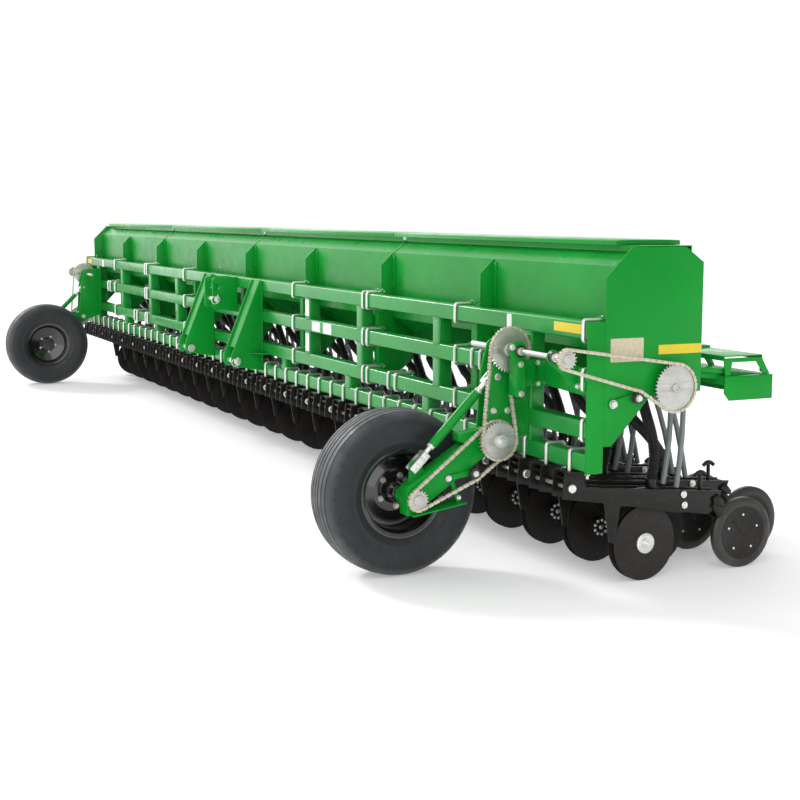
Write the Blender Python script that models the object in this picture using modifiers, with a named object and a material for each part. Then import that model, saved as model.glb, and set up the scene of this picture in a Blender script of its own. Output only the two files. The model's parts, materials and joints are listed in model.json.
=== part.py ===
"""Mounted grain drill, 48 rows on a rigid three-bar frame with two gauge wheels.

Frame: +X to the machine's left side as it travels, -Y towards the tractor, +Z up.
The origin is on the ground under the middle of the machine. Lengths are metres.
"""

import math

import bmesh
import bpy
from mathutils import Matrix, Vector

# ---------------------------------------------------------------- driving sizes
GAP = 0.0003                    # clearance between touching pieces
RUNNING = 0.0004                # radial clearance of a turning piece
TUBE = 0.0762                   # square toolbar section
HALF_WIDTH = 4.61               # outer face of the end plates
END_PLATE_T = 0.0127
END_PLATE_DEPTH = 0.083
END_PLATE_LOW = 0.531
UPPER_TOP = 1.180               # tops of the toolbars
MIDDLE_TOP = 0.972
LOWER_TOP = 0.757
OPENER_BAR_TOP = 0.615
POST_XS = (1.43, 2.23, 3.20, 4.105)
STUB_XS = (1.00, 2.06, 3.08, 4.105)

ROWS = 48
ROW_PITCH = 0.1905
RANK_STEP = 0.195               # how far the rear rank sits behind the front rank
GANGS = 6
PIVOT_Z = 0.449
BEAM_LOW = 0.390
BEAM_HIGH = 0.455
BEAM_HALF = 0.030
DISC_R = 0.1715
DISC_Y = 0.395
DISC_HALF = 0.020
PRESS_R = 0.165
PRESS_Y = 0.946
PRESS_HALF = 0.022
PRESS_ARM_X = -0.036            # the press wheel's arm runs on its inner side
PRESS_ARM_HALF = 0.008
HOSE_R = 0.019
HOSE_STEPS = 3
DISC_AXLE_R = 0.012
BOOT_HALF = 0.012
FACETS = 10

HOPPER_FRONT = 0.166            # outer front face, behind the toolbars' front faces
HOPPER_REAR = 0.585
HOPPER_FLOOR = 0.915
HOPPER_SKIRT = 1.040            # where the walls start to slope to the floor
HOPPER_FOLD = 1.410
HOPPER_RIM = 1.4985
SHEET = 0.004
FLOOR_FRONT = 0.345
FLOOR_REAR = 0.455
RIM_FRONT = 0.250
RIM_REAR = 0.525
RIM_SHOULDER = 1.472
REAR_FOLD = 1.426
PANEL_T = 0.005
PANEL_TOP = 1.493
BRACKET_T = 0.008
BRACKET_XS = (0.0, 1.165, 2.33, 3.495)
LID_FRONT = 0.210
LID_REAR = 0.548
LID_T = 0.022
LID_END = 4.490
LID_SPACE = 0.010
LID_HINGE = (0.556, 1.4985)     # the lids' rear hinges, above the rim

METER_T = 0.006
METER_W = 0.060
METER_LOW = 0.820
FEED_Y = 0.428
FEED_Z = 0.886
FEED_R = 0.011
FEED_HANGER_XS = (-2.30, -0.04, 0.04, 2.30)

JACK_Y = -0.126
JACK_Z = 1.031
JACK_R = 0.0127
JACK_SPAN = (3.830, 4.660)
FEED_SPAN = (0.006, 4.656)
WHEEL_X = 3.888
WHEEL_Y = -0.560
TYRE_R = 0.380
TYRE_HALF = 0.118
RIM_R = 0.200
WHEEL_STEPS = 20                # facets round a gauge wheel and its tyre
AXLE_R = 0.0175
ARM_IN = 4.035
ARM_OUT = 4.115
ARM_PIVOT = (-0.174, 0.624)
ARM_LOW = 0.030                 # how far the arm reaches below the line from axle to pivot
ARM_HIGH = 0.070                # and above it
HUB_TUBE_R = 0.042
FOOT_DROP = 0.070               # the arm's end below the axle
BRACKET_NOSE = 0.040            # half width of the cheeks round their bores
CHEEK_T = 0.010
CHEEK_SPACE = 0.005
CHAIN_INNER_X = 4.145
CHAIN_OUTER_X = 4.175
CHAIN_END_X = 4.645
CHAIN_H = 0.007                 # half the height of a chain's side plates
CHAIN_T = 0.010
SMALL_PITCH_R = 0.045
BIG_PITCH_R = 0.098
PIVOT_PITCH_R = 0.086           # both sprockets on the gauge arm's pivot
PIVOT_SET = (4.1345, 4.190)     # ends of the pivot sprockets' sleeve
PIVOT_SLEEVE_R = 0.032
STUB_END = 4.196                # end of the pivot's stub axle
AXLE_END = 4.158
FEED_PITCH_R = 0.104
END_PITCH_R = 0.042
TURN_TOP = (-0.163, 0.907)
TURN_LOW = (-0.548, 0.524)
TURN_R = 0.021
ROD_R = 0.0125
PIN_R = 0.0095
BAR_FRONT = (TYRE_R - WHEEL_Y - PRESS_Y - RANK_STEP - PRESS_R) / 2    # front faces of the toolbars
IDLER_ARM = (-0.283, 0.480)     # rollers that tighten the chains
IDLER_PIVOT = (-0.405, 0.463)   # where the arm idler's link is bolted on
IDLER_LINK_T = 0.010
IDLER_PANEL = (0.236, 0.850)
IDLER_R = 0.024

HITCH_X = 0.530                 # centre of each lower hitch clevis
HITCH_HALF = 0.080
HITCH_PLATE = 0.0127
HITCH_PIN = (-0.185, 0.632)
HITCH_PIN_R = 0.0183
MAST_HALF = 0.087
MAST_PIN = (-0.150, 1.023)
MAST_PIN_R = 0.0159

BOARD_END = 4.45
BOARD_FRONT = 0.850
BOARD_REAR = 1.130
BOARD_TOP = 0.893
BOARD_LOW = 0.780
BOARD_PIVOT = (0.612, 0.925)
BOARD_ARM_XS = (-4.40, -2.20, 0.06, 2.20, 4.40)
BOARD_ARM_T = 0.010
BOARD_PIN_R = 0.008

GREEN = (0.012, 0.265, 0.040)
BLACK = (0.012, 0.011, 0.010)
ZINC = (0.62, 0.62, 0.58)
TYRE = (0.020, 0.022, 0.026)


# ---------------------------------------------------------------- scene helpers
def new_collection(name):
    """A fresh collection linked to the scene."""
    made = bpy.data.collections.new(name)
    bpy.context.scene.collection.children.link(made)
    return made


def clear_scene():
    """Removes what a new file holds."""
    for thing in list(bpy.data.objects):
        bpy.data.objects.remove(thing, do_unlink=True)


def paint(obj, colour, roughness, metallic):
    """Gives one object its own plain material."""
    made = bpy.data.materials.new(obj.name + "_finish")
    made.use_nodes = True
    shader = made.node_tree.nodes["Principled BSDF"]
    shader.inputs["Base Color"].default_value = (*colour, 1.0)
    shader.inputs["Roughness"].default_value = roughness
    shader.inputs["Metallic"].default_value = metallic
    obj.data.materials.clear()
    obj.data.materials.append(made)


def green(obj):
    """Green enamel."""
    paint(obj, GREEN, 0.35, 0.0)


def black(obj):
    """Black enamel."""
    paint(obj, BLACK, 0.45, 0.0)


def zinc(obj):
    """Zinc-plated steel."""
    paint(obj, ZINC, 0.35, 0.9)


def rubber(obj):
    """Tyre rubber."""
    paint(obj, TYRE, 0.7, 0.0)


def from_bmesh(name, made):
    """Turns a bmesh into an object of the drill."""
    mesh = bpy.data.meshes.new(name)
    bmesh.ops.recalc_face_normals(made, faces=made.faces)
    made.to_mesh(mesh)
    made.free()
    obj = bpy.data.objects.new(name, mesh)
    PARTS.objects.link(obj)
    return obj


def box(name, low, high):
    """A box between two corners."""
    made = bmesh.new()
    bmesh.ops.create_cube(made, size=1.0)
    size = Vector(high) - Vector(low)
    middle = (Vector(high) + Vector(low)) / 2
    bmesh.ops.scale(made, vec=size, verts=made.verts)
    bmesh.ops.translate(made, vec=middle, verts=made.verts)
    return from_bmesh(name, made)


def bar_between(name, start, end, half_x, half_z):
    """A rectangular bar in a plane across X, from start (x, y, z) to end."""
    made = bmesh.new()
    bmesh.ops.create_cube(made, size=1.0)
    run = Vector(end) - Vector(start)
    bmesh.ops.scale(made, vec=(2 * half_x, run.length, 2 * half_z), verts=made.verts)
    tilt = Matrix.Rotation(math.atan2(run.z, run.y), 4, "X")
    move = Matrix.Translation((Vector(start) + Vector(end)) / 2)
    bmesh.ops.transform(made, matrix=move @ tilt, verts=made.verts)
    return from_bmesh(name, made)


def rod(name, start, end, radius, sides=12):
    """A solid round rod between two points."""
    made = bmesh.new()
    run = Vector(end) - Vector(start)
    bmesh.ops.create_cone(made, cap_ends=True, segments=sides, radius1=radius,
                          radius2=radius, depth=run.length)
    turn = run.to_track_quat("Z", "Y").to_matrix().to_4x4()
    move = Matrix.Translation((Vector(start) + Vector(end)) / 2)
    bmesh.ops.transform(made, matrix=move @ turn, verts=made.verts)
    return from_bmesh(name, made)


def wheel_disc(name, x, y, z, radius, half, sides=FACETS):
    """A round disc on an axis along X, with a corner straight below its axis."""
    made = bmesh.new()
    bmesh.ops.create_cone(made, cap_ends=True, segments=sides, radius1=radius,
                          radius2=radius, depth=2 * half)
    turn = Matrix.Rotation(math.pi / 2, 4, "Y")
    bmesh.ops.transform(made, matrix=turn, verts=made.verts)
    lowest = min(made.verts, key=lambda v: v.co.z).co
    level = Matrix.Rotation(-math.atan2(lowest.y, -lowest.z), 4, "X")
    bmesh.ops.transform(made, matrix=Matrix.Translation((x, y, z)) @ level, verts=made.verts)
    return from_bmesh(name, made)


def outline(name, loops, thickness, plane, middle):
    """A flat outline with holes, given some thickness.

    plane "YZ" reads each point as (y, z) and centres the thickness on x = middle;
    plane "XZ" reads (x, z) and centres it on y = middle.
    """
    curve = bpy.data.curves.new(name, "CURVE")
    curve.dimensions = "2D"
    curve.fill_mode = "BOTH"
    curve.extrude = thickness / 2
    for loop in loops:
        spline = curve.splines.new("POLY")
        spline.points.add(len(loop) - 1)
        for point, (a, b) in zip(spline.points, loop):
            point.co = (a, b, 0.0, 1.0)
        spline.use_cyclic_u = True
    obj = bpy.data.objects.new(name, curve)
    PARTS.objects.link(obj)
    if plane == "YZ":
        turn = Matrix(((0, 0, 1, middle), (1, 0, 0, 0), (0, 1, 0, 0), (0, 0, 0, 1)))
    else:
        turn = Matrix(((1, 0, 0, 0), (0, 0, -1, middle), (0, 1, 0, 0), (0, 0, 0, 1)))
    obj.matrix_world = turn
    bpy.context.view_layer.update()
    return as_mesh(obj)


def as_mesh(obj):
    """Replaces a curve or a modified object by its plain, welded mesh."""
    name = obj.name
    depsgraph = bpy.context.evaluated_depsgraph_get()
    mesh = bpy.data.meshes.new_from_object(obj.evaluated_get(depsgraph))
    work = bmesh.new()
    work.from_mesh(mesh)
    bmesh.ops.transform(work, matrix=obj.matrix_world, verts=work.verts)
    bmesh.ops.remove_doubles(work, verts=work.verts, dist=0.00002)
    bmesh.ops.dissolve_degenerate(work, edges=work.edges, dist=0.00001)
    bmesh.ops.dissolve_limit(work, angle_limit=math.radians(0.2), verts=work.verts, edges=work.edges)
    bmesh.ops.recalc_face_normals(work, faces=work.faces)
    work.to_mesh(mesh)
    work.free()
    bpy.data.objects.remove(obj, do_unlink=True)
    made = bpy.data.objects.new(name, mesh)
    PARTS.objects.link(made)
    return made


def turned(name, profile, steps, x=0.0, y=0.0, z=0.0, closed=False):
    """A solid of revolution about an axis along X; the profile is (x, radius) points."""
    mesh = bpy.data.meshes.new(name)
    work = bmesh.new()
    verts = [work.verts.new((a, r, 0.0)) for a, r in profile]
    for first, second in zip(verts, verts[1:]):
        work.edges.new((first, second))
    if closed:
        work.edges.new((verts[-1], verts[0]))
    work.to_mesh(mesh)
    work.free()
    obj = bpy.data.objects.new(name, mesh)
    PARTS.objects.link(obj)
    screw = obj.modifiers.new("turn", "SCREW")
    screw.axis = "X"
    screw.steps = steps
    screw.render_steps = steps
    screw.use_merge_vertices = True
    screw.merge_threshold = 0.0001
    obj.matrix_world = Matrix.Translation((x, y, z))
    bpy.context.view_layer.update()
    return as_mesh(obj)


def combine(base, others, operation):
    """Joins or cuts the base with the other objects and removes them."""
    for other in others:
        step = base.modifiers.new("fit", "BOOLEAN")
        step.operation = operation
        step.solver = "EXACT"
        step.object = other
        bpy.context.view_layer.update()
        base = as_mesh(base)
        bpy.data.objects.remove(other, do_unlink=True)
    return base


def fuse(base, *others):
    """One closed body from overlapping ones."""
    return combine(base, others, "UNION")


def cut(base, *others):
    """The base with the others taken out of it."""
    return combine(base, others, "DIFFERENCE")


def joined(name, objects):
    """Copies several meshes into one object, as a cutter or a pattern."""
    work = bmesh.new()
    for obj in objects:
        work.from_mesh(obj.data)
        bpy.data.objects.remove(obj, do_unlink=True)
    mesh = bpy.data.meshes.new(name)
    work.to_mesh(mesh)
    work.free()
    made = bpy.data.objects.new(name, mesh)
    PARTS.objects.link(made)
    return made


def mirrored(obj, name):
    """A mirror image across the machine's middle plane."""
    work = bmesh.new()
    work.from_mesh(obj.data)
    bmesh.ops.scale(work, vec=(-1.0, 1.0, 1.0), verts=work.verts)
    bmesh.ops.reverse_faces(work, faces=work.faces)
    return from_bmesh(name, work)


def shifted(obj, name, x):
    """A copy of an object moved along X."""
    work = bmesh.new()
    work.from_mesh(obj.data)
    bmesh.ops.translate(work, vec=(x, 0.0, 0.0), verts=work.verts)
    return from_bmesh(name, work)


def hinged_at(obj, x, y, z):
    """Puts a moving piece's origin on its joint's axis, with its mesh left in place."""
    obj.data.transform(Matrix.Translation((-x, -y, -z)))
    obj.location = (x, y, z)


def round_shaded(obj):
    """Smooth shading on the round faces of a piece, with its edges kept sharp."""
    obj.data.shade_smooth()
    obj.data.set_sharp_from_angle(angle=math.radians(40.0))


def back(offset):
    """Y of a point that lies some way behind the toolbars' front faces."""
    return BAR_FRONT + offset


def place(point):
    """(offset behind the bars, z) to (y, z)."""
    return (back(point[0]), point[1])


def arc(middle, radius, start, end, count):
    """Points along an arc, in degrees."""
    points = []
    for step in range(count + 1):
        angle = math.radians(start + (end - start) * step / count)
        points.append((middle[0] + radius * math.cos(angle), middle[1] + radius * math.sin(angle)))
    return points


def ring(middle, radius, count=12):
    """Points round a whole circle."""
    return arc(middle, radius, 0.0, 360.0 * (count - 1) / count, count - 1)


def around(radius, sides):
    """Radius of the corners of a bore whose flats clear a pin of this radius."""
    return (radius + RUNNING) / math.cos(math.pi / sides)


# ---------------------------------------------------------------- toolbars
def hanging_bar(name, top, post_xs, foot, half):
    """A square bar with posts hanging from it to the bar below."""
    low = top - TUBE
    points = [(-half, top), (-half, low)]
    for x in sorted([-p for p in post_xs] + list(post_xs)):
        points += [(x - TUBE / 2, low), (x - TUBE / 2, foot + GAP)]
        points += [(x + TUBE / 2, foot + GAP), (x + TUBE / 2, low)]
    points += [(half, low), (half, top)]
    return outline(name, [points], TUBE, "XZ", back(TUBE / 2))


def toolbars():
    """The three toolbars and the end plates that close them."""
    half = HALF_WIDTH - END_PLATE_T - GAP
    upper = hanging_bar("upper_toolbar", UPPER_TOP, POST_XS, MIDDLE_TOP, half)
    middle = hanging_bar("middle_toolbar", MIDDLE_TOP, POST_XS, LOWER_TOP, half)
    lower = hanging_bar("lower_toolbar", LOWER_TOP, STUB_XS, OPENER_BAR_TOP, half)
    corner = 0.022
    for side, label in ((1, "left"), (-1, "right")):
        points = [(back(0.0), UPPER_TOP), (back(0.0), END_PLATE_LOW + corner)]
        points += [(back(corner), END_PLATE_LOW), (back(END_PLATE_DEPTH - corner), END_PLATE_LOW)]
        points += [(back(END_PLATE_DEPTH), END_PLATE_LOW + corner)]
        points += [(back(END_PLATE_DEPTH), UPPER_TOP)]
        middle_x = side * (HALF_WIDTH - END_PLATE_T / 2)
        green(outline(label + "_end_plate", [points], END_PLATE_T, "YZ", middle_x))
    for obj in (upper, middle, lower):
        green(obj)


# ---------------------------------------------------------------- openers
def hose_points(rank_back):
    """Middle line of a seed hose from its meter down to the boot."""
    top = Vector((back(0.378), METER_LOW - GAP))
    low = Vector((back(DISC_Y + 0.045 + rank_back), BEAM_HIGH - 0.020))
    points = []
    for step in range(HOSE_STEPS + 1):
        t = step / HOSE_STEPS
        ease = t * t * (3 - 2 * t)
        points.append((0.0, top.x + (low.x - top.x) * ease, top.y + (low.y - top.y) * t))
    return points


def tube_along(name, points, radius, sides):
    """A round solid tube along points in a plane across X, with level ends."""
    work = bmesh.new()
    rings = []
    for x, y, z in points:
        made = []
        for step in range(sides):
            angle = 2 * math.pi * step / sides
            made.append(work.verts.new((x + radius * math.cos(angle), y + radius * math.sin(angle), z)))
        rings.append(made)
    for upper, lower in zip(rings, rings[1:]):
        for step in range(sides):
            after = (step + 1) % sides
            work.faces.new((upper[step], upper[after], lower[after], lower[step]))
    work.faces.new(rings[0])
    work.faces.new(rings[-1])
    return from_bmesh(name, work)


def opener(name, rank_back, wheels):
    """One double-disc opener on its bracket, at x = 0."""
    disc_y = back(DISC_Y + rank_back)
    press_y = back(PRESS_Y + rank_back)
    beam = box(name, (-BEAM_HALF, back(-0.030), BEAM_LOW), (BEAM_HALF, back(0.640 + rank_back), BEAM_HIGH))
    clamp = box("clamp", (-0.036, back(0.004), PIVOT_Z - 0.030), (0.036, back(0.070), OPENER_BAR_TOP - TUBE + 0.010))
    boot = box("boot", (-BOOT_HALF, disc_y - 0.050, 0.090), (BOOT_HALF, disc_y + 0.090, BEAM_LOW + 0.020))
    arm_start = (PRESS_ARM_X, back(0.560 + rank_back), BEAM_LOW + 0.035)
    arm = bar_between("arm", arm_start, (PRESS_ARM_X, press_y, PRESS_R), PRESS_ARM_HALF, 0.026)
    hose = tube_along("hose", hose_points(rank_back), HOSE_R, 4)
    if wheels:
        disc = wheel_disc("disc", 0.0, disc_y, DISC_R, DISC_R, DISC_HALF)
        inner = PRESS_ARM_X + PRESS_ARM_HALF - 0.002
        press = wheel_disc("press", (inner + PRESS_HALF) / 2, press_y, PRESS_R, PRESS_R, (PRESS_HALF - inner) / 2)
        return fuse(beam, clamp, boot, arm, hose, disc, press)
    stub = rod("stub", (PRESS_ARM_X, press_y, PRESS_R), (PRESS_HALF + 0.004, press_y, PRESS_R), DISC_AXLE_R, 8)
    bore = rod("bore", (-0.1, disc_y, DISC_R), (0.1, disc_y, DISC_R), around(DISC_AXLE_R, 12), 12)
    return fuse(beam, clamp, cut(boot, bore), arm, stub, hose)


def row_x(row):
    """X of an opener, rows counted from -X."""
    return (row - (ROWS - 1) / 2) * ROW_PITCH


def rank_of(row):
    """How far back the row's opener sits; the row at +X is in the front rank."""
    return RANK_STEP if (ROWS - 1 - row) % 2 else 0.0


def opener_gangs():
    """The opener bar in its lengths, each with its openers."""
    patterns = {}
    for rank_back in (0.0, RANK_STEP):
        for wheels in (True, False):
            patterns[(rank_back, wheels)] = opener("pattern", rank_back, wheels)
    half = HALF_WIDTH - END_PLATE_T - GAP
    per_gang = ROWS // GANGS
    for gang in range(GANGS):
        first = gang * per_gang
        last = first + per_gang - 1
        low = -half if gang == 0 else row_x(first) - ROW_PITCH / 2 + GAP / 2
        high = half if gang == GANGS - 1 else row_x(last) + ROW_PITCH / 2 - GAP / 2
        bar = box("opener_gang_%d" % (gang + 1), (low, back(0.0), OPENER_BAR_TOP - TUBE),
                  (high, back(TUBE), OPENER_BAR_TOP))
        copies = []
        for row in range(first, last + 1):
            pattern = patterns[(rank_of(row), 0 < row < ROWS - 1)]
            copies.append(shifted(pattern, "copy", row_x(row)))
        black(fuse(bar, joined("copies", copies)))
    for pattern in patterns.values():
        bpy.data.objects.remove(pattern, do_unlink=True)


def end_opener_wheels():
    """The outermost openers' disc pairs and press wheels, which turn."""
    thin = 0.004
    inner = DISC_HALF - thin
    disc_profile = [(-DISC_HALF, 0.0), (-DISC_HALF, DISC_R), (-inner, DISC_R), (-inner, DISC_AXLE_R)]
    disc_profile += [(inner, DISC_AXLE_R), (inner, DISC_R), (DISC_HALF, DISC_R), (DISC_HALF, 0.0)]
    bore = around(DISC_AXLE_R, WHEEL_STEPS)
    press_profile = [(-PRESS_HALF, bore), (-PRESS_HALF, PRESS_R - 0.012), (-0.010, PRESS_R)]
    press_profile += [(0.010, PRESS_R), (PRESS_HALF, PRESS_R - 0.012), (PRESS_HALF, bore)]
    for row, label in ((ROWS - 1, "left"), (0, "right")):
        rank_back = rank_of(row)
        x = row_x(row)
        for name, profile, y, z in (("_end_disc", disc_profile, back(DISC_Y + rank_back), DISC_R),
                                    ("_end_press_wheel", press_profile, back(PRESS_Y + rank_back), PRESS_R)):
            wheel = turned(label + name, profile, WHEEL_STEPS, x, y, z, closed=name == "_end_press_wheel")
            hinged_at(wheel, x, y, z)
            round_shaded(wheel)
            black(wheel)


# ---------------------------------------------------------------- hopper
def hopper_profile():
    """The trough's outer line, front rim down round the floor to the rear rim."""
    points = [(RIM_FRONT, HOPPER_RIM), (RIM_FRONT, RIM_SHOULDER), (HOPPER_FRONT, HOPPER_FOLD)]
    points += [(HOPPER_FRONT, HOPPER_SKIRT), (FLOOR_FRONT, HOPPER_FLOOR)]
    points += [(FLOOR_REAR, HOPPER_FLOOR), (HOPPER_REAR, HOPPER_SKIRT)]
    points += [(HOPPER_REAR, REAR_FOLD), (RIM_REAR, RIM_SHOULDER), (RIM_REAR, HOPPER_RIM)]
    return [place(p) for p in points]


def inset_line(points, distance):
    """A line that runs beside an open outline, to its left, at one distance."""
    moved = []
    for index, point in enumerate(points):
        here = Vector(point)
        before = Vector(points[max(index - 1, 0)])
        after = Vector(points[min(index + 1, len(points) - 1)])
        first = (here - before) if index else (after - here)
        second = (after - here) if index < len(points) - 1 else first
        one = Vector((-first.y, first.x)).normalized()
        two = Vector((-second.y, second.x)).normalized()
        way = (one + two).normalized()
        moved.append(tuple(here + way * (distance / way.dot(one))))
    return moved


def hopper():
    """The seed box: a folded sheet trough with cross walls and hinge lugs."""
    line = hopper_profile()
    inside = inset_line(line, SHEET)
    length = 2 * (HALF_WIDTH - PANEL_T - GAP)
    trough = outline("hopper", [line + inside[::-1]], length, "YZ", 0.0)
    walls = []
    for x in (-BRACKET_XS[2], 0.0, BRACKET_XS[2]):
        sunk = inset_line(line, SHEET / 2)
        walls.append(outline("wall", [sunk], SHEET, "YZ", x))
    for x in BOARD_ARM_XS:
        lug_x = x + BOARD_ARM_T / 2 + GAP + BOARD_ARM_T / 2
        lug = [(HOPPER_REAR - 0.002, 1.10), (HOPPER_REAR - 0.002, HOPPER_SKIRT + 0.004)]
        lug += [(BOARD_PIVOT[0] - 0.018, BOARD_PIVOT[1] - 0.018), (BOARD_PIVOT[0] + 0.018, BOARD_PIVOT[1] - 0.018)]
        lug += [(BOARD_PIVOT[0] + 0.018, BOARD_PIVOT[1] + 0.03)]
        walls.append(outline("lug", [[place(p) for p in lug]], BOARD_ARM_T, "YZ", lug_x))
        y, z = place(BOARD_PIVOT)
        walls.append(rod("pin", (x - BOARD_ARM_T, y, z), (lug_x, y, z), BOARD_PIN_R, 10))
    bore = ring(place((FEED_Y, FEED_Z)), around(FEED_R, 12), 12)
    for x in FEED_HANGER_XS:
        top = HOPPER_FLOOR + SHEET / 2
        hanger = [place(p) for p in ((FEED_Y - 0.006, top), (FEED_Y + 0.022, top), (FEED_Y + 0.022, FEED_Z - 0.006))]
        hanger += [place((FEED_Y + 0.010, FEED_Z - 0.018)), place((FEED_Y - 0.016, FEED_Z - 0.012))]
        hanger += [place((FEED_Y - 0.016, FEED_Z + 0.012))]
        walls.append(outline("hanger", [hanger, bore], 0.008, "YZ", x))
    green(fuse(trough, *walls))


def hopper_brackets():
    """Upright plates that carry the seed box on the toolbars."""
    slope = (HOPPER_SKIRT - HOPPER_FLOOR) / (FLOOR_FRONT - HOPPER_FRONT)
    deep = 0.300
    under = HOPPER_SKIRT - slope * (deep - HOPPER_FRONT) - 2 * GAP
    face = HOPPER_FRONT - GAP
    points = [(TUBE + GAP, 0.685), (TUBE + GAP, UPPER_TOP), (0.096, UPPER_TOP + 0.012), (0.096, 1.343)]
    points += [(face, HOPPER_FOLD), (face, HOPPER_SKIRT - GAP), (deep, under), (deep, 0.800), (0.160, 0.685)]
    points = [place(p) for p in points]
    number = 0
    for x in [-v for v in BRACKET_XS[:0:-1]] + list(BRACKET_XS):
        number += 1
        green(outline("hopper_bracket_%d" % number, [points], BRACKET_T, "YZ", x))


def end_panels():
    """The seed box's end panels, with the feed shaft's bore."""
    points = [(END_PLATE_DEPTH + GAP, 0.645), (END_PLATE_DEPTH + GAP, 1.365), (0.211, PANEL_TOP)]
    points += [(0.492, PANEL_TOP), (0.588, REAR_FOLD), (0.588, 0.861), (0.125, 0.645)]
    points = [place(p) for p in points]
    bore = ring(place((FEED_Y, FEED_Z)), around(FEED_R, 12), 12)
    for side, label in ((1, "left"), (-1, "right")):
        x = side * (HALF_WIDTH - PANEL_T / 2)
        panel = outline(label + "_end_panel", [points, bore], PANEL_T, "YZ", x)
        y, z = place(IDLER_PANEL)
        stub = rod("stub", (x, y, z), (side * CHAIN_END_X, y, z), 0.010, 8)
        roller = rod("roller", (side * (CHAIN_END_X - CHAIN_T), y, z), (side * (CHAIN_END_X + CHAIN_T), y, z),
                     IDLER_R, 12)
        green(fuse(panel, stub, roller))


def lids():
    """Four lids on rear hinges."""
    length = (2 * LID_END - 3 * LID_SPACE) / 4
    for number in range(4):
        low = -LID_END + number * (length + LID_SPACE)
        lid = box("hopper_lid_%d" % (number + 1), (low, back(LID_FRONT), HOPPER_RIM + GAP),
                  (low + length, back(LID_REAR), HOPPER_RIM + GAP + LID_T))
        hinged_at(lid, low + length / 2, *place(LID_HINGE))
        green(lid)


def seed_meters():
    """The row of seed cups under the floor, on their rail."""
    top = HOPPER_FLOOR - GAP
    rail_low = top - METER_T
    end = row_x(ROWS - 1) + METER_W
    points = [(-end, top), (-end, rail_low)]
    for row in range(ROWS):
        x = row_x(row)
        points += [(x - METER_W / 2, rail_low), (x - 0.022, METER_LOW)]
        points += [(x + 0.022, METER_LOW), (x + METER_W / 2, rail_low)]
    points += [(end, rail_low), (end, top)]
    black(outline("seed_meters", [points], 0.064, "XZ", back(0.378)))


# ---------------------------------------------------------------- chains
def belt_line(wheels, shift, arc_steps):
    """A closed line round wheels (y, z, radius, side); side -1 wheels press from outside.

    A positive shift moves the line outwards.
    """
    headings = []
    count = len(wheels)
    for index in range(count):
        y0, z0, r0, s0 = wheels[index]
        y1, z1, r1, s1 = wheels[(index + 1) % count]
        reach = s1 * (r1 + s1 * shift) - s0 * (r0 + s0 * shift)
        length = math.hypot(y1 - y0, z1 - z0)
        headings.append(math.atan2(z1 - z0, y1 - y0) - math.asin(reach / length))
    points = []
    for index in range(count):
        y, z, radius, side = wheels[index]
        start = headings[index - 1]
        turn = (headings[index] - start + math.pi) % (2 * math.pi) - math.pi
        if side > 0 and turn < 0:
            turn += 2 * math.pi
        steps = max(1, round(arc_steps * abs(turn) / math.pi))
        for step in range(steps + 1):
            angle = start + turn * step / steps - side * math.pi / 2
            reach = (radius + side * shift) / math.cos(turn / steps / 2)
            points.append((y + reach * math.cos(angle), z + reach * math.sin(angle)))
    return points


def chain(name, wheels, x):
    """A roller chain as one closed band."""
    outer = belt_line(wheels, CHAIN_H, 10)
    inner = belt_line(wheels, -CHAIN_H, 10)
    band = outline(name, [outer, inner], CHAIN_T, "YZ", x)
    zinc(band)


def sprocket_profile(x, pitch_r, shaft_r):
    """Half section of a sprocket plate standing on its shaft, inner side first."""
    top = pitch_r - CHAIN_H - 2 * GAP
    return [(x - 0.004, shaft_r), (x - 0.004, top), (x + 0.004, top), (x + 0.004, shaft_r)]


def wheel_chain_wheels():
    """The wheels of the chain from the gauge wheel to the pivot."""
    axle = (back(WHEEL_Y), TYRE_R)
    pivot = place(ARM_PIVOT)
    idler = place(IDLER_ARM)
    return [(*axle, SMALL_PITCH_R, 1), (*idler, IDLER_R + CHAIN_H + GAP, 1), (*pivot, PIVOT_PITCH_R, 1)]


def jack_chain_wheels():
    """The wheels of the chain from the pivot up to the jackshaft."""
    return [(*place(ARM_PIVOT), PIVOT_PITCH_R, 1), (*place((JACK_Y, JACK_Z)), BIG_PITCH_R, 1)]


def feed_chain_wheels():
    """The wheels of the chain from the jackshaft to the feed shaft."""
    return [(*place((JACK_Y, JACK_Z)), END_PITCH_R, 1),
            (*place(IDLER_PANEL), IDLER_R + CHAIN_H + GAP, -1),
            (*place((FEED_Y, FEED_Z)), FEED_PITCH_R, 1)]


def chains():
    """The three chains of each side."""
    for side, label in ((1, "left"), (-1, "right")):
        chain(label + "_wheel_chain", wheel_chain_wheels(), side * CHAIN_INNER_X)
        chain(label + "_jack_chain", jack_chain_wheels(), side * CHAIN_OUTER_X)
        chain(label + "_feed_chain", feed_chain_wheels(), side * CHAIN_END_X)


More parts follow.
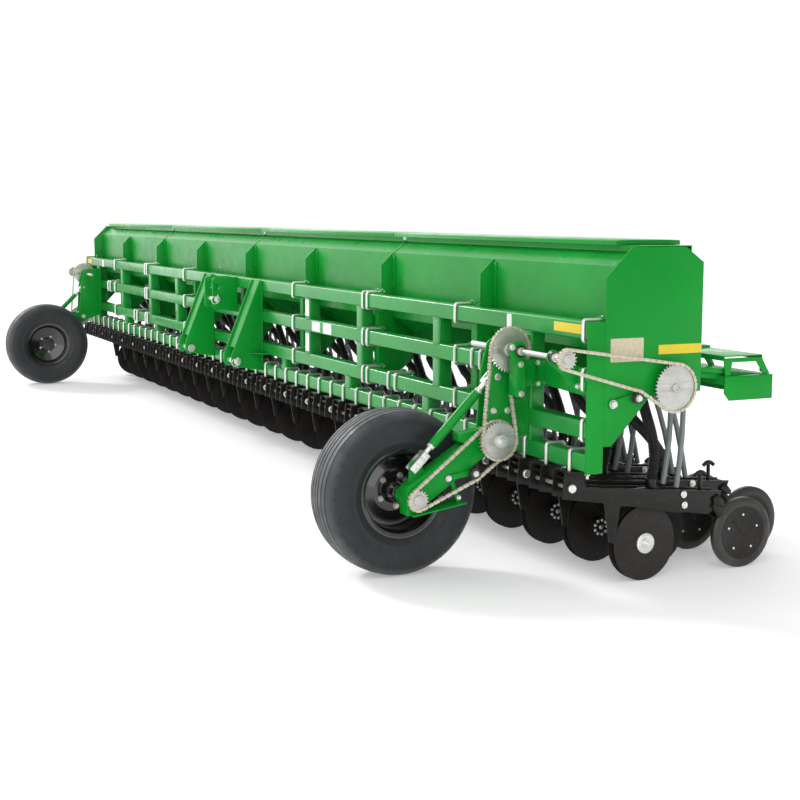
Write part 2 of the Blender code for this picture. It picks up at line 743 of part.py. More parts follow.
# ---------------------------------------------------------------- drive
def shafts(side, label):
    """Jackshaft, feed shaft and pivot sprockets of one side, made on +X and mirrored."""
    made = []
    start, end = JACK_SPAN
    profile = [(start, 0.0), (start, JACK_R)] + sprocket_profile(CHAIN_OUTER_X, BIG_PITCH_R, JACK_R)
    profile += sprocket_profile(CHAIN_END_X, END_PITCH_R, JACK_R) + [(end, JACK_R), (end, 0.0)]
    made.append((turned("jackshaft", profile, 16, 0.0, back(JACK_Y), JACK_Z), place((JACK_Y, JACK_Z))))
    start, end = FEED_SPAN
    profile = [(start, 0.0), (start, FEED_R)] + sprocket_profile(CHAIN_END_X, FEED_PITCH_R, FEED_R)
    profile += [(end, FEED_R), (end, 0.0)]
    made.append((turned("feed_shaft", profile, 16, 0.0, back(FEED_Y), FEED_Z), place((FEED_Y, FEED_Z))))
    bore = around(2 * PIN_R, 16)
    start, end = PIVOT_SET
    profile = [(start, bore), (start, PIVOT_SLEEVE_R)]
    for x in (CHAIN_INNER_X, CHAIN_OUTER_X):
        profile += sprocket_profile(x, PIVOT_PITCH_R, PIVOT_SLEEVE_R)
    profile += [(end, PIVOT_SLEEVE_R), (end, bore)]
    y, z = place(ARM_PIVOT)
    made.append((turned("pivot_sprocket", profile, 16, 0.0, y, z, closed=True), (y, z)))
    for obj, axis in made:
        name = label + "_" + obj.name
        if side < 0:
            turning = mirrored(obj, name)
            bpy.data.objects.remove(obj, do_unlink=True)
        else:
            turning = obj
            turning.name = name
        hinged_at(turning, 0.0, *axis)
        round_shaded(turning)
        zinc(turning)


def drive_bracket():
    """Two cheeks and a back plate that carry the arm, the turnbuckle and the jackshaft."""
    inner_x = ARM_IN - CHEEK_SPACE - CHEEK_T / 2
    outer_x = ARM_OUT + CHEEK_SPACE + CHEEK_T / 2
    py, pz = place(ARM_PIVOT)
    ty, tz = place(TURN_TOP)
    jy, jz = place((JACK_Y, JACK_Z))
    points = [(back(-0.004), 0.640), (back(-0.004), 1.090)]
    points += arc((jy, jz), BRACKET_NOSE, 90.0, 180.0, 4)
    points += [(ty - 0.032, tz)]
    points += arc((py, pz), BRACKET_NOSE, 180.0, 290.0, 6)
    jack_hole = ring((jy, jz), around(JACK_R, 12), 12)
    pivot_hole = ring((py, pz), around(2 * PIN_R, 12), 12)
    cheek_in = outline("cheek_in", [points, pivot_hole, jack_hole], CHEEK_T, "YZ", inner_x)
    cheek_out = outline("cheek_out", [points, jack_hole], CHEEK_T, "YZ", outer_x)
    plate = box("left_drive_bracket", (inner_x - 0.030, back(-0.012), 0.645),
                (outer_x + 0.030, back(-GAP), 1.085))
    stub = rod("stub", (outer_x, py, pz), (STUB_END, py, pz), 2 * PIN_R, 12)
    pin = rod("pin", (inner_x, ty, tz), (outer_x, ty, tz), PIN_R, 10)
    bracket = fuse(plate, cheek_in, cheek_out, stub, pin)
    return bracket


def gauge_arm():
    """The gauge wheel's box arm with its hub tube, lug and foot plate."""
    ay, az = back(WHEEL_Y), TYRE_R
    py, pz = place(ARM_PIVOT)
    lean = math.degrees(math.atan2(pz - az, py - ay))
    points = arc((py, pz), HUB_TUBE_R, lean - 90.0, lean + 30.0, 5)
    for (y, z), turn, reach in (((py, pz), 90.0, ARM_HIGH - 0.010), ((ay, az), 90.0, ARM_HIGH)):
        points += arc((y, z), reach, lean + turn, lean + turn, 1)[:1]
    points += [(ay - HUB_TUBE_R, az + 0.030), (ay - HUB_TUBE_R, az - FOOT_DROP)]
    points += [(ay + HUB_TUBE_R, az - FOOT_DROP)] + arc((ay + HUB_TUBE_R, az), ARM_LOW, lean - 90.0, lean - 90.0, 1)[:1]
    middle = (ARM_IN + ARM_OUT) / 2
    arm = outline("left_gauge_arm", [points], ARM_OUT - ARM_IN, "YZ", middle)
    hub = rod("hub", (WHEEL_X + TYRE_HALF + 0.010, ay, az), (ARM_IN + 0.01, ay, az), HUB_TUBE_R, 14)
    ly, lz = place(TURN_LOW)
    lug_points = arc((ly, lz), 0.022, 0.0, 180.0, 5) + [(ly - 0.030, az + 0.02), (ly + 0.075, az + 0.075)]
    lug_points[0] = (ly + 0.022, lz)
    lug = outline("lug", [lug_points, ring((ly, lz), around(PIN_R, 10), 10)], 0.012, "YZ", middle)
    foot = bar_between("foot", (middle + 0.025, ay - 0.030, az - FOOT_DROP + 0.003),
                       (middle + 0.025, ay + 0.235, az - FOOT_DROP + 0.041), 0.055, 0.003)
    web = box("web", (middle - 0.02, ay - 0.020, az - FOOT_DROP + 0.005), (middle + 0.035, ay + 0.036, az - 0.02))
    iy, iz = place(IDLER_ARM)
    idler_pin = rod("idler_pin", (ARM_OUT - 0.01, iy, iz), (CHAIN_INNER_X + CHAIN_T, iy, iz), 0.008, 8)
    roller = rod("roller", (CHAIN_INNER_X - CHAIN_T, iy, iz), (CHAIN_INNER_X + CHAIN_T, iy, iz), IDLER_R, 12)
    link_x = ARM_OUT + IDLER_LINK_T / 2 - 0.002
    link = bar_between("link", (link_x, *place(IDLER_PIVOT)), (link_x, iy, iz), IDLER_LINK_T / 2, 0.012)
    arm = fuse(arm, hub, lug, foot, web, link, idler_pin, roller)
    bore = rod("bore", (WHEEL_X, ay, az), (STUB_END, ay, az), around(AXLE_R, 14), 14)
    arm = cut(arm, bore)
    pin = rod("pivot_pin", (ARM_IN - CHEEK_SPACE - CHEEK_T, py, pz), (ARM_IN + 0.01, py, pz), 2 * PIN_R, 12)
    return fuse(arm, pin)


def gauge_wheel():
    """Rim, disc, hub, axle and axle sprocket, turned as one."""
    half = 0.092
    rim = RIM_R - GAP
    profile = [(-0.070, 0.0), (-0.070, 0.045), (-0.030, 0.060), (-0.012, 0.060), (-0.022, 0.130)]
    profile += [(-0.030, 0.172), (-half, 0.176), (-half, rim), (half, rim), (half, 0.176)]
    profile += [(-0.012, 0.172), (-0.010, 0.130), (0.004, 0.062), (0.085, 0.050), (0.085, AXLE_R)]
    out = [(x - WHEEL_X, r) for x, r in sprocket_profile(CHAIN_INNER_X, SMALL_PITCH_R, AXLE_R)]
    profile += out + [(AXLE_END - WHEEL_X, AXLE_R), (AXLE_END - WHEEL_X, 0.0)]
    return turned("left_gauge_wheel", profile, WHEEL_STEPS, WHEEL_X, back(WHEEL_Y), TYRE_R)


def gauge_tyre():
    """A wide implement tyre, as a closed ring."""
    w = TYRE_HALF
    profile = [(-0.088, RIM_R), (-w * 0.93, RIM_R + 0.045), (-w, RIM_R + 0.095), (-w * 0.93, TYRE_R - 0.036)]
    profile += [(-w * 0.72, TYRE_R - 0.010), (-w * 0.30, TYRE_R), (w * 0.30, TYRE_R), (w * 0.72, TYRE_R - 0.010)]
    profile += [(w * 0.93, TYRE_R - 0.036), (w, RIM_R + 0.095), (w * 0.93, RIM_R + 0.045), (0.088, RIM_R)]
    return turned("left_tyre", profile, WHEEL_STEPS, WHEEL_X, back(WHEEL_Y), TYRE_R, closed=True)


def turnbuckle():
    """The tube with its upper eye, and the rod with its fork."""
    top = Vector((0.0, *place(TURN_TOP)))
    low = Vector((0.0, *place(TURN_LOW)))
    way = (low - top).normalized()
    x = (ARM_IN + ARM_OUT) / 2
    shift = Vector((x, 0.0, 0.0))
    start = top + way * 0.030 + shift
    end = top + way * 0.420 + shift
    tube = rod("left_turnbuckle_tube", start, end, TURN_R, 12)
    eye = outline("eye", [ring((top.y, top.z), 0.024, 14)], 0.030, "YZ", x)
    neck = rod("neck", top + way * 0.012 + shift, start + way * 0.01, 0.013, 10)
    tube = fuse(tube, eye, neck)
    tube = cut(tube, rod("bore", (x - 0.1, top.y, top.z), (x + 0.1, top.y, top.z), around(PIN_R, 10), 10),
               rod("inside", top + way * 0.150 + shift, end + way * 0.01, ROD_R + RUNNING, 10))
    reach = (low - top).length
    fork_top = top + way * (reach - 0.075) + shift
    stem = rod("left_turnbuckle_rod", top + way * 0.260 + shift, fork_top, ROD_R, 10)
    block = bar_between("block", fork_top - way * 0.012, low + way * 0.020 + shift, 0.026, 0.020)
    slot = bar_between("slot", low - way * 0.046 + shift, low + way * 0.040 + shift, 0.011, 0.040)
    hole = rod("hole", (x - 0.1, low.y, low.z), (x + 0.1, low.y, low.z), PIN_R, 10)
    fork = cut(block, slot, hole)
    return tube, fuse(stem, fork)


def gauge_wheels():
    """Both gauge wheels with their arms, brackets and turnbuckles."""
    axle = (WHEEL_X, back(WHEEL_Y), TYRE_R)
    arm_x = (ARM_IN + ARM_OUT) / 2
    pivot = (arm_x, *place(ARM_PIVOT))
    eye = (arm_x, *place(TURN_TOP))
    tube, stem = turnbuckle()
    pieces = [(drive_bracket(), green, None), (gauge_arm(), green, pivot), (gauge_wheel(), black, axle)]
    pieces += [(gauge_tyre(), rubber, axle), (tube, green, eye), (stem, zinc, eye)]
    for obj, finish, origin in pieces:
        other = mirrored(obj, obj.name.replace("left", "right"))
        for piece, side in ((obj, 1), (other, -1)):
            finish(piece)
            if origin:
                hinged_at(piece, side * origin[0], origin[1], origin[2])
                round_shaded(piece)


# ---------------------------------------------------------------- hitch
def lower_hitch():
    """A clevis frame on the toolbars for one lower link."""
    top = UPPER_TOP - 0.004
    py, pz = place(HITCH_PIN)
    points = [(back(-GAP), 0.565), (back(-GAP), top), (back(-0.022), top), (py - 0.040, pz + 0.040)]
    points += [(py - 0.040, pz - 0.034), (py + 0.020, pz - 0.046)]
    outer = outline("outer", [points], HITCH_PLATE, "YZ", HITCH_X + HITCH_HALF)
    inner = outline("inner", [points], HITCH_PLATE, "YZ", HITCH_X - HITCH_HALF)
    rear = box("left_lower_hitch", (HITCH_X - HITCH_HALF, back(-0.012), 0.600),
               (HITCH_X + HITCH_HALF, back(-GAP), top))
    front_low = Vector((HITCH_X, py - 0.034, pz + 0.150))
    front_high = Vector((HITCH_X, back(-0.020), top - 0.006))
    lean = (front_high - Vector((HITCH_X, py - 0.034, pz + 0.04))).normalized()
    front_low = front_high - lean * 0.330
    front = bar_between("front", front_low, front_high, HITCH_HALF, 0.004)
    pin = rod("pin", (HITCH_X - HITCH_HALF - 0.030, py, pz), (HITCH_X + HITCH_HALF + 0.034, py, pz), HITCH_PIN_R, 14)
    edge = HITCH_X + HITCH_HALF + HITCH_PLATE / 2 - 0.002
    low = LOWER_TOP - TUBE
    gusset = box("gusset", (edge, back(-0.112), low), (edge + 0.112, back(-GAP), low + 0.010))
    corner = box("corner", (edge + 0.004, back(-0.240), low - 0.01), (edge + 0.240, back(-0.112), low + 0.02))
    hinge = Vector((edge, back(-0.112), 0.0))
    for vert in corner.data.vertices:
        vert.co = hinge + Matrix.Rotation(math.radians(45.0), 3, "Z") @ (vert.co - hinge)
    return fuse(rear, outer, inner, front, pin, cut(gusset, corner))


def top_hitch():
    """The mast plates for the top link."""
    py, pz = place(MAST_PIN)
    points = [(back(-GAP), 0.930), (back(-GAP), UPPER_TOP - 0.002), (back(-0.185), UPPER_TOP - 0.002)]
    points += [(back(-0.185), 0.962)]
    hole = ring(place((-0.150, 1.110)), MAST_PIN_R, 12)
    plates = []
    for side in (1, -1):
        plates.append(outline("plate", [points, hole], HITCH_PLATE, "YZ", side * MAST_HALF))
    rear = box("top_hitch", (-MAST_HALF, back(-0.012), 0.940), (MAST_HALF, back(-GAP), UPPER_TOP - 0.004))
    pin = rod("pin", (-MAST_HALF - 0.030, py, pz), (MAST_HALF + 0.030, py, pz), MAST_PIN_R, 14)
    return fuse(rear, *plates, pin)


def hitch():
    """Lower clevises left and right and the top mast."""
    left = lower_hitch()
    green(left)
    green(mirrored(left, "right_lower_hitch"))
    green(top_hitch())


# ---------------------------------------------------------------- walkboard
def walkboard():
    """The folding walkboard behind the seed box, on five arms."""
    wall = 0.006
    points = [(BOARD_FRONT, BOARD_TOP - 0.040), (BOARD_FRONT, BOARD_TOP), (BOARD_REAR, BOARD_TOP)]
    points += [(BOARD_REAR, BOARD_LOW)]
    line = [place(p) for p in points]
    inside = inset_line(line, -wall)
    board = outline("walkboard", [line + inside[::-1]], 2 * BOARD_END, "YZ", 0.0)
    arms = []
    py, pz = place(BOARD_PIVOT)
    for side in (1, -1):
        end = [(BOARD_FRONT, BOARD_TOP - 0.001), (BOARD_REAR - 0.001, BOARD_TOP - 0.001)]
        end += [(BOARD_REAR - 0.001, BOARD_LOW), (BOARD_FRONT, BOARD_LOW)]
        arms.append(outline("end", [[place(p) for p in end]], wall, "YZ", side * (BOARD_END - wall / 2)))
    for x in BOARD_ARM_XS:
        arm = arc((py, pz), 0.020, 100.0, 280.0, 6)
        arm += [place((BOARD_REAR - 0.010, BOARD_TOP - 0.045)), place((BOARD_REAR - 0.010, BOARD_TOP - 0.002))]
        arms.append(outline("arm", [arm, ring((py, pz), around(BOARD_PIN_R, 10), 10)], BOARD_ARM_T, "YZ", x))
    board = fuse(board, *arms)
    hinged_at(board, 0.0, py, pz)
    green(board)


# ---------------------------------------------------------------- build
clear_scene()
PARTS = new_collection("seed_drill")
toolbars()
opener_gangs()
end_opener_wheels()
hopper()
hopper_brackets()
end_panels()
lids()
seed_meters()
for drive_side, side_label in ((1, "left"), (-1, "right")):
    shafts(drive_side, side_label)
chains()
gauge_wheels()
hitch()
walkboard()
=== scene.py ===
"""The looks of a wide mounted seed drill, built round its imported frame.

Lengths are metres in the frame's own axes: +X to the machine's left side, -Y towards
the tractor, +Z up. An offset "behind" is measured from the toolbars' front faces.
"""

import json
import logging
import math
from dataclasses import dataclass
from enum import Enum
from typing import Dict, List, Optional, Sequence, Tuple

import bmesh
import bpy
from mathutils import Euler, Matrix, Vector


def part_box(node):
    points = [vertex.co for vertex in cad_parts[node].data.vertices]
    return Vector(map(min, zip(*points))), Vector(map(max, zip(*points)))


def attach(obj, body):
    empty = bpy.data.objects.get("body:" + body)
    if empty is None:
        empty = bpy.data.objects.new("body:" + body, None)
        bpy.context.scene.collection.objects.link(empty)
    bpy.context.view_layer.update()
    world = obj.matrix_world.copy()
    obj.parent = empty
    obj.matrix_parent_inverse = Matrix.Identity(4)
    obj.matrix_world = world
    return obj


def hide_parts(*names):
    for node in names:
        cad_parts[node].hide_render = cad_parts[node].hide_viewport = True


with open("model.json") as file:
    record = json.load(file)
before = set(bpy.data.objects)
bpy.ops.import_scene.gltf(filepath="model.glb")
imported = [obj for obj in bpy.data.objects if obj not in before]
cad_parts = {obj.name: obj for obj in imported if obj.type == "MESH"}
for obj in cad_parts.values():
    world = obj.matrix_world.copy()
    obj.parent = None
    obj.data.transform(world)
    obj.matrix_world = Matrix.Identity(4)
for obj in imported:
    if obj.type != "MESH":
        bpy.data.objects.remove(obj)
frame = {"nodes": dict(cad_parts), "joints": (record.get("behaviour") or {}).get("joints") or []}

Flat = Tuple[float, float]
Spot = Tuple[float, float, float]
LOG = logging.getLogger("seed_drill")


class Side(Enum):
    """The two sides of the machine; everything is modelled on the left, at +X."""

    LEFT = 1
    RIGHT = -1

    @property
    def label(self) -> str:
        """The side's name in the frame."""
        return self.name.lower()


class Plane(Enum):
    """The plane that a flat outline lies in."""

    YZ = "across the machine's travel"
    XZ = "facing front and rear"
    XY = "level"


class Slot(Enum):
    """The record's material slots."""

    GREEN = "enamel_green"
    BLACK = "enamel_black"
    ZINC = "zinc"
    TYRE = "tyre"


def joint_point(name: str) -> Vector:
    """Where a joint of the frame turns.

    Args:
        name: The joint's name in the record.

    Returns:
        The point on its axis, at rest.
    """
    found = next(joint for joint in frame["joints"] if joint["name"] == name)
    return Vector(found["pos_m"])


# ------------------------------------------------------------------ driving sizes
BAR_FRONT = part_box("upper_toolbar")[0].y
UPPER_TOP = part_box("upper_toolbar")[1].z
MIDDLE_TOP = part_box("middle_toolbar")[1].z
LOWER_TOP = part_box("lower_toolbar")[1].z
HALF_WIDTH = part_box("left_end_plate")[1].x
TUBE = 0.0762
OPENER_BAR_TOP = 0.615
ROWS = 48
GANGS = 6
ROW_PITCH = 0.1905
RANK_STEP = 0.195
SEAT = 0.0004


def behind(offset: float) -> float:
    """Y of something that lies an offset behind the toolbars' front faces."""
    return BAR_FRONT + offset


def at(offset: float, z: float) -> Flat:
    """(offset behind the bars, z) to (y, z)."""
    return (behind(offset), z)


def row_x(row: int) -> float:
    """X of an opener row, counted from the right end."""
    return (row - (ROWS - 1) / 2) * ROW_PITCH


def rank_of(row: int) -> float:
    """How far a row's opener sits behind the front rank."""
    return RANK_STEP if (ROWS - 1 - row) % 2 else 0.0


# ------------------------------------------------------------------ finishes
class Shader:
    """A material's node tree while it is put together."""

    def __init__(self, name: str) -> None:
        """Starts a material with one principled shader.

        Args:
            name: The material's name.
        """
        self.material = bpy.data.materials.new(name)
        self.material.use_nodes = True
        self.tree = self.material.node_tree
        self.surface = self.tree.nodes["Principled BSDF"]
        self.where = self.tree.nodes.new("ShaderNodeTexCoord").outputs["Object"]

    def constant(self, name: str, value: float) -> None:
        """Sets one of the shader's own sockets."""
        self.surface.inputs[name].default_value = value

    def colour(self, value: Sequence[float]) -> None:
        """Sets a plain base colour."""
        self.surface.inputs["Base Color"].default_value = (*value, 1.0)

    def feed(self, name: str, socket: bpy.types.NodeSocket) -> None:
        """Links a texture to one of the shader's sockets."""
        self.tree.links.new(socket, self.surface.inputs[name])

    def moved(self, scale: Spot, shift: Spot = (0.0, 0.0, 0.0)) -> bpy.types.NodeSocket:
        """Object coordinates, shifted and stretched.

        Args:
            scale: Stretch along each axis.
            shift: The point that becomes the pattern's middle.

        Returns:
            The mapped coordinates.
        """
        mapping = self.tree.nodes.new("ShaderNodeMapping")
        mapping.inputs["Scale"].default_value = scale
        mapping.inputs["Location"].default_value = tuple(-s * k for s, k in zip(shift, scale))
        self.tree.links.new(self.where, mapping.inputs["Vector"])
        return mapping.outputs["Vector"]

    def noise(self, scale: float, detail: float = 3.0,
              where: Optional[bpy.types.NodeSocket] = None) -> bpy.types.NodeSocket:
        """A noise value over the surface.

        Args:
            scale: Cells to the metre.
            detail: How many finer layers it has.
            where: Coordinates in place of the object's own.

        Returns:
            The noise, 0 to 1.
        """
        made = self.tree.nodes.new("ShaderNodeTexNoise")
        made.inputs["Scale"].default_value = scale
        made.inputs["Detail"].default_value = detail
        self.tree.links.new(where or self.where, made.inputs["Vector"])
        return made.outputs["Fac"]

    def spread(self, value: bpy.types.NodeSocket, low: float, high: float,
               from_low: float = 0.3, from_high: float = 0.7) -> bpy.types.NodeSocket:
        """Stretches a value over a new range.

        Args:
            value: What is read.
            low: Result at from_low.
            high: Result at from_high.
            from_low: Lower end of what is read.
            from_high: Upper end of what is read.

        Returns:
            The stretched, clamped value.
        """
        made = self.tree.nodes.new("ShaderNodeMapRange")
        for name, number in (("From Min", from_low), ("From Max", from_high), ("To Min", low),
                             ("To Max", high)):
            made.inputs[name].default_value = number
        self.tree.links.new(value, made.inputs["Value"])
        return made.outputs["Result"]

    def math(self, operation: str, first: bpy.types.NodeSocket, second: object) -> bpy.types.NodeSocket:
        """One calculation on a value.

        Args:
            operation: Name of the operation.
            first: The value.
            second: Another value, or a number.

        Returns:
            The result.
        """
        made = self.tree.nodes.new("ShaderNodeMath")
        made.operation = operation
        self.tree.links.new(first, made.inputs[0])
        if isinstance(second, bpy.types.NodeSocket):
            self.tree.links.new(second, made.inputs[1])
        else:
            made.inputs[1].default_value = second
        return made.outputs["Value"]

    def blend(self, fac: bpy.types.NodeSocket, first: object, second: object) -> bpy.types.NodeSocket:
        """Mixes two colours.

        Args:
            fac: Share of the second colour.
            first: Colour or socket at 0.
            second: Colour or socket at 1.

        Returns:
            The mixed colour.
        """
        made = self.tree.nodes.new("ShaderNodeMix")
        made.data_type = "RGBA"
        self.tree.links.new(fac, made.inputs["Factor"])
        for index, value in ((6, first), (7, second)):
            if isinstance(value, bpy.types.NodeSocket):
                self.tree.links.new(value, made.inputs[index])
            else:
                made.inputs[index].default_value = (*value, 1.0)
        return made.outputs[2]

    def bump(self, height: bpy.types.NodeSocket, distance: float, strength: float = 1.0) -> None:
        """Roughens the surface.

        Args:
            height: Height of the relief, 0 to 1.
            distance: Its depth in metres.
            strength: How much of it is used.
        """
        made = self.tree.nodes.new("ShaderNodeBump")
        made.inputs["Distance"].default_value = distance
        made.inputs["Strength"].default_value = strength
        self.tree.links.new(height, made.inputs["Height"])
        self.tree.links.new(made.outputs["Normal"], self.surface.inputs["Normal"])


@dataclass(frozen=True)
class Finish:
    """What every finish has: a name and a base colour."""

    name: str
    colour: Spot

    def material(self) -> bpy.types.Material:
        """The finish's material, made once."""
        found = bpy.data.materials.get(self.name)
        return found or self.make()

    def make(self) -> bpy.types.Material:
        """A plain version; each kind of finish has its own."""
        shader = Shader(self.name)
        shader.colour(self.colour)
        return shader.material


@dataclass(frozen=True)
class Enamel(Finish):
    """Sprayed enamel with a slight orange peel, dust and faint drift in its colour."""

    roughness: float = 0.30
    specular: float = 0.32
    coat: float = 0.12
    drift: float = 0.14
    dust: float = 0.012
    dust_colour: Spot = (0.42, 0.40, 0.33)

    def make(self) -> bpy.types.Material:
        """Builds the enamel's nodes."""
        shader = Shader(self.name)
        darker = tuple(c * (1.0 - self.drift) for c in self.colour)
        lighter = tuple(min(1.0, c * (1.0 + self.drift)) for c in self.colour)
        base = shader.blend(shader.spread(shader.noise(1.7, 4.0), 0.0, 1.0), darker, lighter)
        specks = shader.spread(shader.noise(60.0, 5.0), 0.0, self.dust * 3.0, 0.56, 0.78)
        haze = shader.spread(shader.noise(6.0, 4.0), 0.0, self.dust, 0.45, 0.75)
        dusty = shader.math("ADD", specks, haze)
        shader.feed("Base Color", shader.blend(dusty, base, self.dust_colour))
        rough = shader.spread(shader.noise(14.0, 4.0), self.roughness * 0.8, self.roughness * 1.3)
        shader.feed("Roughness", shader.math("ADD", rough, dusty))
        shader.constant("Specular IOR Level", self.specular)
        shader.constant("Coat Weight", self.coat)
        shader.constant("Coat Roughness", 0.10)
        shader.bump(shader.noise(240.0, 2.0), 0.00003, 0.5)
        return shader.material


@dataclass(frozen=True)
class Plating(Finish):
    """Zinc plate or bare steel: fine grain, light stains, soft reflections."""

    roughness: float = 0.34
    metallic: float = 0.85
    stain: Spot = (0.34, 0.29, 0.20)
    staining: float = 0.25
    grain: float = 260.0

    def make(self) -> bpy.types.Material:
        """Builds the plating's nodes."""
        shader = Shader(self.name)
        dull = tuple(c * 0.82 for c in self.colour)
        base = shader.blend(shader.spread(shader.noise(22.0, 5.0), 0.0, 1.0), dull, self.colour)
        stained = shader.spread(shader.noise(48.0, 6.0), 0.0, self.staining, 0.55, 0.8)
        shader.feed("Base Color", shader.blend(stained, base, self.stain))
        fine = shader.noise(self.grain, 3.0)
        shader.feed("Roughness", shader.spread(fine, self.roughness * 0.8, self.roughness * 1.35))
        shader.constant("Metallic", self.metallic)
        shader.bump(fine, 0.00008, 0.7)
        return shader.material


@dataclass(frozen=True)
class Rubber(Finish):
    """Moulded rubber or plastic with dust that lies in patches."""

    roughness: float = 0.6
    dust: float = 0.12
    dust_colour: Spot = (0.22, 0.20, 0.165)
    grain: float = 150.0

    def make(self) -> bpy.types.Material:
        """Builds the rubber's nodes."""
        shader = Shader(self.name)
        patches = shader.spread(shader.noise(7.0, 6.0), 0.0, self.dust, 0.40, 0.75)
        shader.feed("Base Color", shader.blend(patches, self.colour, self.dust_colour))
        shader.feed("Roughness", shader.spread(shader.noise(30.0, 4.0), self.roughness * 0.85,
                                               min(1.0, self.roughness * 1.15)))
        shader.bump(shader.noise(self.grain, 4.0), 0.0003, 0.6)
        return shader.material


@dataclass(frozen=True)
class TyreRubber(Finish):
    """Tyre rubber whose tread is worn grey and whose walls stay dark."""

    axle: Spot = (0.0, 0.0, 0.0)
    tread_start: float = 0.335
    tread_full: float = 0.372
    tread_colour: Spot = (0.085, 0.090, 0.095)

    def make(self) -> bpy.types.Material:
        """Builds the tyre's nodes, which read the distance from the axle."""
        shader = Shader(self.name)
        from_axle = shader.moved((0.0, 1.0, 1.0), self.axle)
        length = shader.tree.nodes.new("ShaderNodeVectorMath")
        length.operation = "LENGTH"
        shader.tree.links.new(from_axle, length.inputs[0])
        out = shader.spread(length.outputs["Value"], 0.0, 1.0, self.tread_start, self.tread_full)
        patchy = shader.spread(shader.noise(11.0, 6.0), 0.35, 1.0, 0.3, 0.65)
        worn = shader.math("MULTIPLY", out, patchy)
        walls = shader.blend(shader.spread(shader.noise(5.0, 5.0), 0.0, 0.35, 0.45, 0.75),
                             self.colour, (0.030, 0.032, 0.035))
        shader.feed("Base Color", shader.blend(worn, walls, self.tread_colour))
        shader.feed("Roughness", shader.spread(shader.noise(26.0, 4.0), 0.46, 0.66))
        shader.bump(shader.noise(210.0, 4.0), 0.0003, 0.5)
        return shader.material


@dataclass(frozen=True)
class Tape(Finish):
    """Reflective tape or a printed plate, blank, with a fine cell pattern."""

    roughness: float = 0.35
    cell: float = 260.0

    def make(self) -> bpy.types.Material:
        """Builds the tape's nodes."""
        shader = Shader(self.name)
        cells = shader.tree.nodes.new("ShaderNodeTexVoronoi")
        cells.inputs["Scale"].default_value = self.cell
        shader.tree.links.new(shader.where, cells.inputs["Vector"])
        darker = tuple(c * 0.86 for c in self.colour)
        edge = shader.spread(cells.outputs["Distance"], 0.0, 1.0, 0.2, 0.6)
        worn = shader.blend(edge, self.colour, darker)
        smudge = shader.spread(shader.noise(9.0, 5.0), 0.0, 0.18, 0.5, 0.8)
        shader.feed("Base Color", shader.blend(smudge, worn, (0.33, 0.30, 0.24)))
        shader.constant("Roughness", self.roughness)
        shader.bump(cells.outputs["Distance"], 0.0001, 0.4)
        return shader.material


GREEN = Enamel("green_enamel", (0.003, 0.270, 0.026), specular=0.16, coat=0.05, dust=0.006)
# The bars' copy of the green enamel is the same paint as green_enamel. Its slightly paler, bluer tint is
# painted sheen, and its higher specular and coat add real gloss.
BAR_SHEEN_GREEN = Enamel("bar_enamel", (0.006, 0.270, 0.034), specular=0.45, coat=0.20)
BLACK = Enamel("black_enamel", (0.008, 0.007, 0.006), roughness=0.30, specular=0.26, coat=0.08, dust=0.010)
DISC_BLACK = Enamel("disc_black", (0.012, 0.010, 0.009), roughness=0.42, specular=0.3, coat=0.05,
                    dust=0.016)
RIM_BLACK = Enamel("rim_black", (0.008, 0.008, 0.008), roughness=0.16, specular=0.5, coat=0.8, dust=0.01)
ZINC = Plating("zinc_plate", (0.86, 0.86, 0.83))
SPROCKET = Plating("sprocket_steel", (0.60, 0.60, 0.56), roughness=0.36, metallic=0.8, staining=0.35)
CHAIN = Plating("chain_steel", (0.66, 0.62, 0.50), roughness=0.4, metallic=0.6, staining=0.6,
                stain=(0.36, 0.23, 0.09))
HOSE = Rubber("hose_rubber", (0.012, 0.012, 0.013), roughness=0.36, dust=0.08)
GREY_TUBE = Rubber("grey_tube", (0.16, 0.185, 0.19), roughness=0.35, dust=0.3)
PRESS_RUBBER = Rubber("press_rubber", (0.014, 0.013, 0.012), roughness=0.42, dust=0.15)
YELLOW = Tape("yellow_tape", (0.78, 0.62, 0.008))
WHITE = Tape("blank_label", (0.86, 0.86, 0.83), roughness=0.4, cell=90.0)
BEIGE = Tape("blank_plate", (0.63, 0.56, 0.40), roughness=0.45, cell=60.0)


# ------------------------------------------------------------------ mesh kit
def rounded(low: Flat, high: Flat, radius: float, steps: int = 4) -> List[Flat]:
    """A rectangle's outline with rounded corners.

    Args:
        low: Lower corner.
        high: Upper corner.
        radius: Corner radius.
        steps: Points along each corner, less one.

    Returns:
        The outline's points, in order.
    """
    points: List[Flat] = []
    corners = ((high[0] - radius, high[1] - radius, 0), (low[0] + radius, high[1] - radius, 90),
               (low[0] + radius, low[1] + radius, 180), (high[0] - radius, low[1] + radius, 270))
    for x, y, start in corners:
        points += arc((x, y), radius, start, start + 90, steps)
    return points


def arc(middle: Flat, radius: float, start: float, end: float, steps: int) -> List[Flat]:
    """Points along an arc, its angles in degrees."""
    points = []
    for step in range(steps + 1):
        angle = math.radians(start + (end - start) * step / steps)
        points.append((middle[0] + radius * math.cos(angle), middle[1] + radius * math.sin(angle)))
    return points


def ring(middle: Flat, radius: float, count: int = 20) -> List[Flat]:
    """Points round a whole circle."""
    return arc(middle, radius, 0.0, 360.0 * (count - 1) / count, count - 1)


